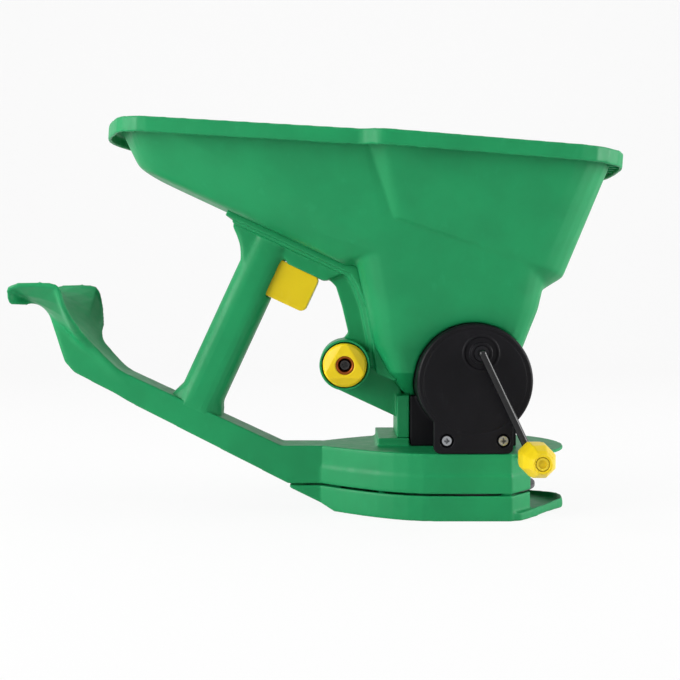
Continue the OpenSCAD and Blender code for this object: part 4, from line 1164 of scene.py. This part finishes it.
    def bead(self, bm: bmesh.types.BMesh) -> None:
        """Fills the mesh with the beads along the two wings' edges.

        Args:
            bm: The mesh to fill.
        """
        for side in (-1.0, 1.0):
            edge = []
            for row, section in enumerate(self.sections):
                inset = 1.0 - self.bead_in_mm / section[2]
                edge.append(self.cradle_point(row, side * inset, self.bead_sink * self.bead_mm))
            MeshShop.tube(bm, self.curve(edge), self.bead_mm * MM, sides=12)

    def lip(self, bm: bmesh.types.BMesh) -> None:
        """Fills the mesh with the lip along the rear edge.

        Args:
            bm: The mesh to fill.
        """
        middle, ends, thick = self.lip_mm
        thin, low = self.lip_ends
        last = len(self.sections) - 1
        rounds = []
        for step in range(-self.lip_steps, self.lip_steps + 1):
            share = step / self.lip_steps
            place = self.cradle_point(last, share * self.lip_reach, 0.0)
            height = middle + (ends - middle) * abs(share) ** self.lip_power
            past = max(0.0, (abs(share) - 1.0 + self.lip_round) / self.lip_round)
            full = math.sqrt(max(0.0, 1.0 - past**2))
            ring = []
            for k in range(self.lip_sides):
                turn = 2.0 * math.pi * k / self.lip_sides
                across = 0.5 * thick * (thin + (1.0 - thin) * full) * math.cos(turn) - self.lip_back * thick
                up = 0.5 * height * (low + (1.0 - low) * full) * math.sin(turn) - 0.5 * height
                ring.append(place + Vector((across, 0.0, up + self.lip_over_mm)) * MM)
            rounds.append(ring)
        MeshShop.strip(bm, rounds)

    def edges(self, bm: bmesh.types.BMesh) -> None:
        """Fills the mesh with the bead and the lip along the cradle's edges."""
        self.bead(bm)
        self.lip(bm)

    def details(self) -> None:
        """Turns up the edge of the pan's nose."""
        piece = self.piece_for("base_pan")
        points = MeshShop.points(piece) / MM
        x, _, z = points.T
        points[:, 2] += self.nose_rise_mm * self.nose_along.at(x) * self.nose_up.at(z) * self.nose_wall.at(z)
        MeshShop.move(piece, points * MM)


@dataclass
class Handle(SubAssembly):
    """The two shells of grip, flange, web, dial socket and neck.

    Attributes:
        place: The handle's own directions.
        shells: The nodes of the two shells.
        voxel_mm: Fineness of the shells' surfaces.
        grip_drop_mm: Length of the grip below the trigger's middle.
        grip_mid_mm: Distance of the grip's middle behind the trigger's front face.
        grip_half_mm: Half depth of the grip.
        grip_front_mm: Place that parts the grip from the arm.
        flare_mm: Height over which the grip's foot widens.
        flare_reach_mm: How far the foot widens.
        flare_power: How late the widening sets in.
        flare_off: Distance past the grip's half depth over which the foot takes part.
        flare_most_mm: Distance past it up to which there is a foot to widen.
        skirt_mm: How far the foot laps over the beam's sides.
        skirt_rise: Share of the flare over which the lap sets in.
        skirt_off: Distance past the grip's half depth over which the lap fades.
        skirt_gap_mm: Most distance from the beam's side where the lap begins, and where it is full.
        beam_half_mm: Half width of the beam.
        guard_mm: How far the arm's edges hang down beside the trigger.
        guard_side: Distance from the middle plane over which an edge takes part.
        guard_top: Height over which the arm above it doesn't.
        guard_foot: Height over which what lies under it doesn't.
        guard_rear: Place along the slide over which the edge begins.
        guard_front: Place along the slide over which it ends.
        seat_mm: Gap to the bin within which the shells' edges are drawn against it.
        seat_full: Share of that gap within which they touch it.
        melt_passes: Smoothing passes where the grip meets the flange.
        under_flange: Height over which the melting fades under the flange.
        above_hand: Height over which it sets in on the grip.
        above_trigger: Height over which it sets in on the arm.
        off_split: Distance from the split over which it sets in.
        off_web: Place along the slide over which it fades towards the web.
    """

    place: HandleFrame = field(default_factory=HandleFrame)
    shells: Sequence[str] = ("handle_left_shell", "handle_right_shell")
    voxel_mm: float = 0.8
    grip_drop_mm: float = 112.0
    grip_mid_mm: float = -41.5
    grip_half_mm: float = 16.5
    grip_front_mm: float = -27.0
    flare_mm: float = 13.0
    flare_reach_mm: float = 7.5
    flare_power: float = 2.2
    flare_off: tuple[float, float] = (-5.0, -1.0)
    flare_most_mm: float = 3.0
    skirt_mm: float = 6.0
    skirt_rise: Fade = Fade(0.55, 1.0)
    skirt_off: Fade = Fade(12.0, 6.0)
    skirt_gap_mm: tuple[float, float] = (2.4, -0.6)
    beam_half_mm: float = 15.0
    guard_mm: float = 2.2
    guard_side: Fade = Fade(12.2, 13.0)
    guard_top: Fade = Fade(19.0, 16.0)
    guard_foot: Fade = Fade(12.0, 14.0)
    guard_rear: Fade = Fade(-27.0, -23.0)
    guard_front: Fade = Fade(10.0, 4.0)
    seat_mm: float = 2.2
    seat_full: float = 0.3
    melt_passes: int = 70
    under_flange: Fade = Fade(22.5, 19.0)
    above_hand: Fade = Fade(-42.0, -26.0)
    above_trigger: Fade = Fade(15.8, 18.5)
    off_split: Fade = Fade(5.0, 9.0)
    off_web: Fade = Fade(14.0, 6.0)

    def mouldings(self) -> Sequence[Moulding]:
        """The two shells."""
        soft = (SoftZone(self.melt_passes, self.melted),)
        return tuple(
            Moulding(node, Body.BODY, Slot.GREEN, voxel_mm=self.voxel_mm, passes=6, faces=90000, soft=soft)
            for node in self.shells
        )

    def in_handle(self, points: np.ndarray) -> np.ndarray:
        """Turns places in metres into the handle's millimetres."""
        away = np.array(self.place.matrix().inverted())
        return points @ away[:3, :3].T + away[:3, 3]

    def melted(self, points: np.ndarray) -> np.ndarray:
        """How far each place of a shell is melted.

        Args:
            points: Places in millimetres.

        Returns:
            Shares from 0 at the split and the flange to 1 where the grip and the arm meet.
        """
        x, y, z = self.in_handle(points * MM).T
        upward = np.where(x < self.grip_front_mm, self.above_hand.at(z), self.above_trigger.at(z))
        return self.under_flange.at(z) * upward * self.off_split.at(np.abs(y)) * self.off_web.at(x)

    def kept(self) -> dict[str, Slot]:
        """The shells' screws."""
        return {"handle_screws": Slot.STEEL, "handle_foot_screws": Slot.STEEL, "neck_screws": Slot.STEEL}

    def flare(self, piece: bpy.types.Object) -> None:
        """Widens the grip's foot, laps it over the beam's sides and lowers the arm's edges.

        Args:
            piece: The shell.
        """
        local = self.in_handle(MeshShop.points(piece))
        x, y, z = local.T
        # The foot widens forward and rearward
        rise = np.clip((-self.grip_drop_mm + self.flare_mm - z) / self.flare_mm, 0.0, 1.0)
        off = x - self.grip_mid_mm
        past = np.abs(off) - self.grip_half_mm
        near = (past < self.flare_most_mm) & (rise > 0)
        first, full = self.flare_off
        outer = np.clip((past - first) / (full - first), 0.0, 1.0)
        x += np.where(near, np.sign(off) * self.flare_reach_mm * rise**self.flare_power * outer, 0.0)
        # Its skirt laps over the beam's sides
        lap = self.skirt_rise.at(rise) * self.skirt_off.at(past)
        z -= self.skirt_mm * lap
        wide, close = self.skirt_gap_mm
        inside = self.beam_half_mm + wide + (close - wide) * lap
        y[:] = np.where(lap > 0, np.clip(y, -inside, inside), y)
        # The arm's edges hang down beside the trigger
        guard = self.guard_side.at(np.abs(y)) * self.guard_top.at(z) * self.guard_foot.at(z)
        z -= self.guard_mm * guard * self.guard_rear.at(x) * self.guard_front.at(x)
        back = np.array(self.place.matrix())
        MeshShop.move(piece, local @ back[:3, :3].T + back[:3, 3])

    def seat(self, piece: bpy.types.Object, bin_faces: BVHTree) -> None:
        """Draws a shell's edges against the bin.

        Args:
            piece: The shell.
            bin_faces: The finished bin's faces.
        """
        reach = self.seat_mm * MM
        pull = Fade(reach, self.seat_full * reach)
        for vertex in piece.data.vertices:
            place, _, _, gap = bin_faces.find_nearest(vertex.co, reach)
            if place is not None:
                vertex.co = vertex.co.lerp(place, float(pull.at(gap)))
        piece.data.update()

    def details(self) -> None:
        """Shapes the grip's foot and seats the shells under the bin."""
        bin_faces = MeshShop.faces(bpy.data.objects["hopper_moulding"])
        for node in self.shells:
            self.flare(self.piece_for(node))
            self.seat(self.piece_for(node), bin_faces)


@dataclass
class GearHousing(SubAssembly):
    """The black gear case, its cover and what is fixed in them."""

    def mouldings(self) -> Sequence[Moulding]:
        """The case and its cover."""
        return (
            Moulding("gear_case", Body.BODY, Slot.BLACK, voxel_mm=0.7, passes=5, faces=60000),
            Moulding("gear_cover", Body.BODY, Slot.BLACK, voxel_mm=0.45, passes=4, faces=80000),
        )

    def kept(self) -> dict[str, Slot]:
        """Screws and bushes."""
        return {
            "gear_cover_screws": Slot.STEEL,
            "case_screws": Slot.STEEL,
            "crank_bush": Slot.BLACK,
            "shaft_upper_bush": Slot.BRONZE,
        }


@dataclass
class Crank(SubAssembly):
    """The bent crank rod, its gear and the knob that turns on it."""

    def mouldings(self) -> Sequence[Moulding]:
        """The knob."""
        return (Moulding("crank_knob", Body.KNOB, Slot.YELLOW, voxel_mm=0.45, passes=8, faces=40000),)

    def kept(self) -> dict[str, Slot]:
        """The rod and what is fixed on it."""
        return {
            "crank_rod": Slot.BLACK_STEEL,
            "crank_gear": Slot.ACETAL,
            "crank_clip": Slot.STEEL,
            "knob_cap": Slot.YELLOW,
        }


@dataclass
class Drive(SubAssembly):
    """The crown gear with the agitator, and the spreading disc on its shaft."""

    def mouldings(self) -> Sequence[Moulding]:
        """The disc and the agitator."""
        return (
            Moulding("spinner_disc", Body.SPINNER, Slot.GREY, voxel_mm=0.6, passes=4, faces=60000),
            Moulding("agitator", Body.CROWN, Slot.ACETAL, voxel_mm=0.4, passes=4, faces=20000),
        )

    def kept(self) -> dict[str, Slot]:
        """Gears and shafts."""
        return {
            "crown_gear": Slot.ACETAL,
            "crown_shaft": Slot.STEEL,
            "spinner_shaft": Slot.STEEL,
            "spinner_pinion": Slot.ACETAL,
            "spinner_pin": Slot.STEEL,
        }


@dataclass
class RateControl(SubAssembly):
    """The trigger with its spring, rod and gate, and the rate dial.

    Attributes:
        place: The handle's own directions.
        wire_mm: Diameter of the spring's wire.
        coil_mm: Outside diameter of the spring.
        curls: Open curls of the spring.
        curl_steps: Straight pieces of wire in one curl.
        front_mm: Place of the spring's front end along the trigger's slide.
        rear_mm: Place of its rear end.
        travel_mm: Travel of the trigger. Not used.
        dial_mid_mm: Place of the dial's axis, rearward and upward.
        dial_mm: Radius of the dial.
        dial_edge_mm: Distance inside the dial's side from which its face is shaped.
        dial_face_mm: Distance of the dial's face in front of the middle plane.
        dial_bevel_mm: Depth of the bevel round the dial's face.
        dial_round: Radius over which the face's edge is rounded.
        dial_round_mm: Depth of that rounding.
        scoop_turns: Directions of the three finger scoops, in degrees.
        scoop_mm: Distance from the dial's axis at which the scoops begin.
        scoop_slope: How steeply a scoop falls away.
        well_mm: Radius of the hole in the dial's face.
        well_ring_mm: Width of the plain ring round the hole.
        well_foot_mm: Radius of the well's foot, round the screw.
        well_depth_mm: Depth of the well.
        well_edges_mm: Depths of the lining's inner and outer edge under the face.
        well_thick_mm: How far the lining's outside lies outward and deeper at its foot.
        well_sides: Corners of the lining's section.
    """

    place: HandleFrame = field(default_factory=HandleFrame)
    wire_mm: float = 1.0
    coil_mm: float = 8.5
    curls: float = 7.0
    curl_steps: int = 28
    front_mm: float = -26.6
    rear_mm: float = -55.4
    travel_mm: float = 7.0
    dial_mid_mm: tuple[float, float] = (-92.0, 109.5)
    dial_mm: float = 16.0
    dial_edge_mm: float = 0.1
    dial_face_mm: float = 37.0
    dial_bevel_mm: float = 4.6
    dial_round: Fade = Fade(14.6, 15.8)
    dial_round_mm: float = 0.9
    scoop_turns: Sequence[float] = (30.0, 150.0, 270.0)
    scoop_mm: float = 9.2
    scoop_slope: float = 0.52
    well_mm: float = 6.75
    well_ring_mm: float = 1.0
    well_foot_mm: float = 3.4
    well_depth_mm: float = 7.6
    well_edges_mm: tuple[float, float] = (0.5, 1.6)
    well_thick_mm: tuple[float, float] = (0.6, 0.3)
    well_sides: int = 48

    def mouldings(self) -> Sequence[Moulding]:
        """The yellow pieces."""
        return (
            Moulding("trigger", Body.TRIGGER, Slot.YELLOW, voxel_mm=0.5, passes=7, faces=50000),
            Moulding("rate_dial", Body.DIAL, Slot.YELLOW, voxel_mm=0.4, passes=5, faces=50000),
        )

    def kept(self) -> dict[str, Slot]:
        """Rod, gate and the dial's inner pieces."""
        return {
            "trigger_rod": Slot.STEEL,
            "gate_plate": Slot.STEEL,
            "dial_cam": Slot.ACETAL,
            # The washer takes the dark red-brown finish as painted shade at the foot of the dial's well.
            "dial_washer": Slot.BRONZE,
            "dial_screw": Slot.BLACK_STEEL,
        }

    def coil(self) -> list[Vector]:
        """The middle line of the spring's wire.

        Returns:
            Points in metres, from the rear end to the front end.
        """
        to_part = self.place.matrix()
        radius = (self.coil_mm - self.wire_mm) / 2
        run = self.front_mm - self.rear_mm - self.wire_mm
        steps = int(self.curls * self.curl_steps)
        points = []
        for k in range(steps + 1):
            turn = 2 * math.pi * self.curls * k / steps
            x = self.rear_mm + self.wire_mm / 2 + run * k / steps
            points.append(to_part @ Vector((x, radius * math.cos(turn), radius * math.sin(turn))))
        return points

    def spring(self, bm: bmesh.types.BMesh) -> None:
        """Fills the mesh with the return spring's wire."""
        MeshShop.tube(bm, self.coil(), self.wire_mm * MM / 2, sides=12)

    def scoop(self, piece: bpy.types.Object) -> None:
        """Gives the dial's face its three finger scoops.

        Args:
            piece: The dial.
        """
        points = MeshShop.points(piece) / MM
        across = points[:, 0] - self.dial_mid_mm[0]
        up = points[:, 2] - self.dial_mid_mm[1]
        out = np.hypot(across, up)
        # The scoop that a place lies furthest along sets its depth
        turns = np.radians(self.scoop_turns)
        reach = np.max([across * math.cos(t) + up * math.sin(t) for t in turns], axis=0)
        fall = np.clip(reach - self.scoop_mm, 0.0, None) * self.scoop_slope
        face = -self.dial_face_mm + fall + self.dial_round_mm * self.dial_round.at(out)
        depth = points[:, 1]
        outside = out > self.well_mm + self.well_ring_mm
        inside = out < self.dial_mm - self.dial_edge_mm
        front = outside & inside & (depth < -self.dial_face_mm + self.dial_bevel_mm)
        depth = np.where(outside, np.maximum(depth, face), depth)
        points[:, 1] = np.where(front, face, depth)
        MeshShop.move(piece, points * MM)

    def well(self, bm: bmesh.types.BMesh) -> None:
        """Fills the mesh with a tapered sheet in the hole of the dial's face, dressed dark red-brown as
        painted shade on the well's walls.

        Args:
            bm: The mesh to fill.
        """
        foot, floor = self.well_foot_mm, self.well_depth_mm
        inner, outer = self.well_edges_mm
        outward, deeper = self.well_thick_mm
        profile = (
            (self.well_mm, inner),
            (foot, floor),
            (foot + outward, floor + deeper),
            (self.well_mm, outer),
        )
        x, z = self.dial_mid_mm
        rows = []
        for k in range(self.well_sides):
            turn = 2 * math.pi * k / self.well_sides
            row = []
            for radius, depth in profile:
                place = (x + radius * math.cos(turn), depth - self.dial_face_mm, z + radius * math.sin(turn))
                row.append(bm.verts.new(Vector(place) * MM))
            rows.append(row)
        for k, row in enumerate(rows):
            beside = rows[(k + 1) % len(rows)]
            for j in range(len(profile)):
                after = (j + 1) % len(profile)
                bm.faces.new((row[j], row[after], beside[after], beside[j]))

    def details(self) -> None:
        """Shapes the dial, lines its hole with a sheet of painted shade and winds the return spring."""
        self.scoop(self.piece_for("rate_dial"))
        lining = MeshShop.piece("dial_well_shade", self.well)
        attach(lining, Body.DIAL.value)
        # The lining's dark red-brown finish is painted shade, standing in for the yellow walls of the well in
        # shadow.
        self.add(lining, Slot.BRONZE)
        piece = MeshShop.piece("return_spring", self.spring)
        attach(piece, Body.BODY.value)
        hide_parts("trigger_spring")
        to_part = self.place.matrix()
        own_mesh(piece)
        self.add(piece, Slot.STEEL)


@dataclass(frozen=True)
class Lamp:
    """One soft square lamp.

    Attributes:
        name: The lamp's name.
        place: Where it is, in metres.
        size: Width of its face.
        watts: Its power.
    """

    name: str
    place: Point
    size: float
    watts: float

    def light(self, target: Point) -> None:
        """Adds the lamp, pointed at a place.

        Args:
            target: The place, in metres.
        """
        data = bpy.data.lights.new(self.name, "AREA")
        data.size = self.size
        data.energy = self.watts
        made = bpy.data.objects.new(self.name, data)
        made.location = self.place
        made.rotation_euler = (Vector(target) - Vector(self.place)).to_track_quat("-Z", "Y").to_euler()
        bpy.context.scene.collection.objects.link(made)


@dataclass
class Studio:
    """Camera, soft lights and a pale sweep.

    Attributes:
        eye: Place of the camera, in metres.
        pitch: How far the camera looks down, in degrees.
        lens_mm: Focal length.
        sensor_mm: Width of the sensor.
        sky: Strength of the even light from all round.
        floor: Linear grey of the sweep.
        white: How much of the sweep reads as plain white.
        behind: Brightness that is seen past the sweep.
        sweep_half: Half width of the sweep.
        sweep_near: Reach of the floor in front.
        sweep_bend: Where the floor begins to curve up, and the radius of the curve.
        sweep_steps: Straight parts of the curve.
        sweep_under_mm: How far the floor lies under the part's foot.
        sweep_top: Height of the backdrop.
        middle: The place that the lamps point at.
        lamps: The lamps.
    """

    eye: Point = (-0.0955, -0.760, 0.157)
    pitch: float = 2.29
    lens_mm: float = 52.94
    sensor_mm: float = 36.0
    sky: float = 0.22
    floor: float = 0.86
    white: float = 0.9
    behind: float = 0.94
    sweep_half: float = 5.0
    sweep_near: float = -4.0
    sweep_bend: tuple[float, float] = (1.4, 0.9)
    sweep_steps: int = 12
    sweep_under_mm: float = 0.2
    sweep_top: float = 5.0
    middle: Point = (-0.1, 0.0, 0.15)
    lamps: Sequence[Lamp] = (
        Lamp("key", (-1.6, -0.7, 0.75), size=0.9, watts=26.0),
        Lamp("low_key", (-1.5, -0.75, 0.05), size=0.8, watts=11.0),
        Lamp("fill", (1.5, -0.35, 0.55), size=0.9, watts=21.0),
        Lamp("low_fill", (1.5, -0.35, 0.04), size=0.8, watts=8.0),
        Lamp("top", (-0.1, 0.1, 1.5), size=1.2, watts=6.0),
    )

    def camera(self) -> None:
        """Sets up the camera at the photograph's angle."""
        data = bpy.data.cameras.new("camera")
        data.lens = self.lens_mm
        data.sensor_width = self.sensor_mm
        data.clip_start = 0.01
        made = bpy.data.objects.new("camera", data)
        made.location = self.eye
        made.rotation_euler = (math.radians(90.0 - self.pitch), 0.0, 0.0)
        bpy.context.scene.collection.objects.link(made)
        bpy.context.scene.camera = made

    def seen(self, tree: bpy.types.NodeTree) -> Socket:
        """Adds the share of rays that look at the background.

        Args:
            tree: The node tree.

        Returns:
            1 for camera, glossy and transmission rays, otherwise 0.
        """
        path = tree.nodes.new("ShaderNodeLightPath")
        total = path.outputs["Is Camera Ray"]
        for name in ("Is Glossy Ray", "Is Transmission Ray"):
            most = tree.nodes.new("ShaderNodeMath")
            most.operation = "MAXIMUM"
            tree.links.new(total, most.inputs[0])
            tree.links.new(path.outputs[name], most.inputs[1])
            total = most.outputs[0]
        return total

    def world(self) -> None:
        """Makes the even light and the white background."""
        world = bpy.data.worlds.new("studio")
        bpy.context.scene.world = world
        world.use_nodes = True
        tree = world.node_tree
        tree.nodes.clear()
        light, shown = (tree.nodes.new("ShaderNodeBackground") for _ in range(2))
        light.inputs["Strength"].default_value = self.sky
        shown.inputs["Strength"].default_value = self.behind
        for node in (light, shown):
            node.inputs["Color"].default_value = (1.0, 1.0, 1.0, 1.0)
        both = tree.nodes.new("ShaderNodeMixShader")
        tree.links.new(self.seen(tree), both.inputs[0])
        tree.links.new(light.outputs[0], both.inputs[1])
        tree.links.new(shown.outputs[0], both.inputs[2])
        output = tree.nodes.new("ShaderNodeOutputWorld")
        tree.links.new(both.outputs[0], output.inputs["Surface"])

    def sweep(self) -> None:
        """Makes the pale floor that curves up into a backdrop."""
        start, bend = self.sweep_bend
        profile = [(self.sweep_near, 0.0), (start, 0.0)]
        for k in range(1, self.sweep_steps + 1):
            turn = math.pi / 2 * k / self.sweep_steps
            profile.append((start + bend * math.sin(turn), bend - bend * math.cos(turn)))
        profile.append((start + bend, self.sweep_top))

        def fill(bm: bmesh.types.BMesh) -> None:
            """Sweeps the profile sideways.

            Args:
                bm: The mesh to fill.
            """
            down = self.sweep_under_mm * MM
            sides = (-self.sweep_half, self.sweep_half)
            rows = [[bm.verts.new((x, y, z - down)) for y, z in profile] for x in sides]
            for k in range(len(profile) - 1):
                bm.faces.new((rows[0][k], rows[1][k], rows[1][k + 1], rows[0][k + 1]))

        piece = MeshShop.piece("sweep", fill)
        material = bpy.data.materials.new("pale_sweep")
        material.use_nodes = True
        tree = material.node_tree
        tree.nodes.clear()
        paint = tree.nodes.new("ShaderNodeBsdfDiffuse")
        paint.inputs["Color"].default_value = (self.floor, self.floor, self.floor, 1.0)
        glow = tree.nodes.new("ShaderNodeEmission")
        share = tree.nodes.new("ShaderNodeMath")
        share.operation = "MULTIPLY"
        share.inputs[1].default_value = self.white
        tree.links.new(self.seen(tree), share.inputs[0])
        both = tree.nodes.new("ShaderNodeMixShader")
        tree.links.new(share.outputs[0], both.inputs[0])
        tree.links.new(paint.outputs[0], both.inputs[1])
        tree.links.new(glow.outputs[0], both.inputs[2])
        output = tree.nodes.new("ShaderNodeOutputMaterial")
        tree.links.new(both.outputs[0], output.inputs["Surface"])
        piece.data.materials.append(material)

    def build(self) -> None:
        """Sets the whole studio."""
        bpy.context.scene.view_settings.view_transform = "Standard"
        self.camera()
        for lamp in self.lamps:
            lamp.light(self.middle)
        self.world()
        self.sweep()


def main() -> None:
    """Builds the spreader's groups in order and dresses them."""
    logging.basicConfig(level=logging.INFO, format="%(name)s: %(message)s")
    Studio().build()
    palette = Palette()
    for group in (Hopper(), Base(), Handle(), GearHousing(), Crank(), Drive(), RateControl()):
        group.build()
        group.dress(palette)


if __name__ == "__main__":
    main()
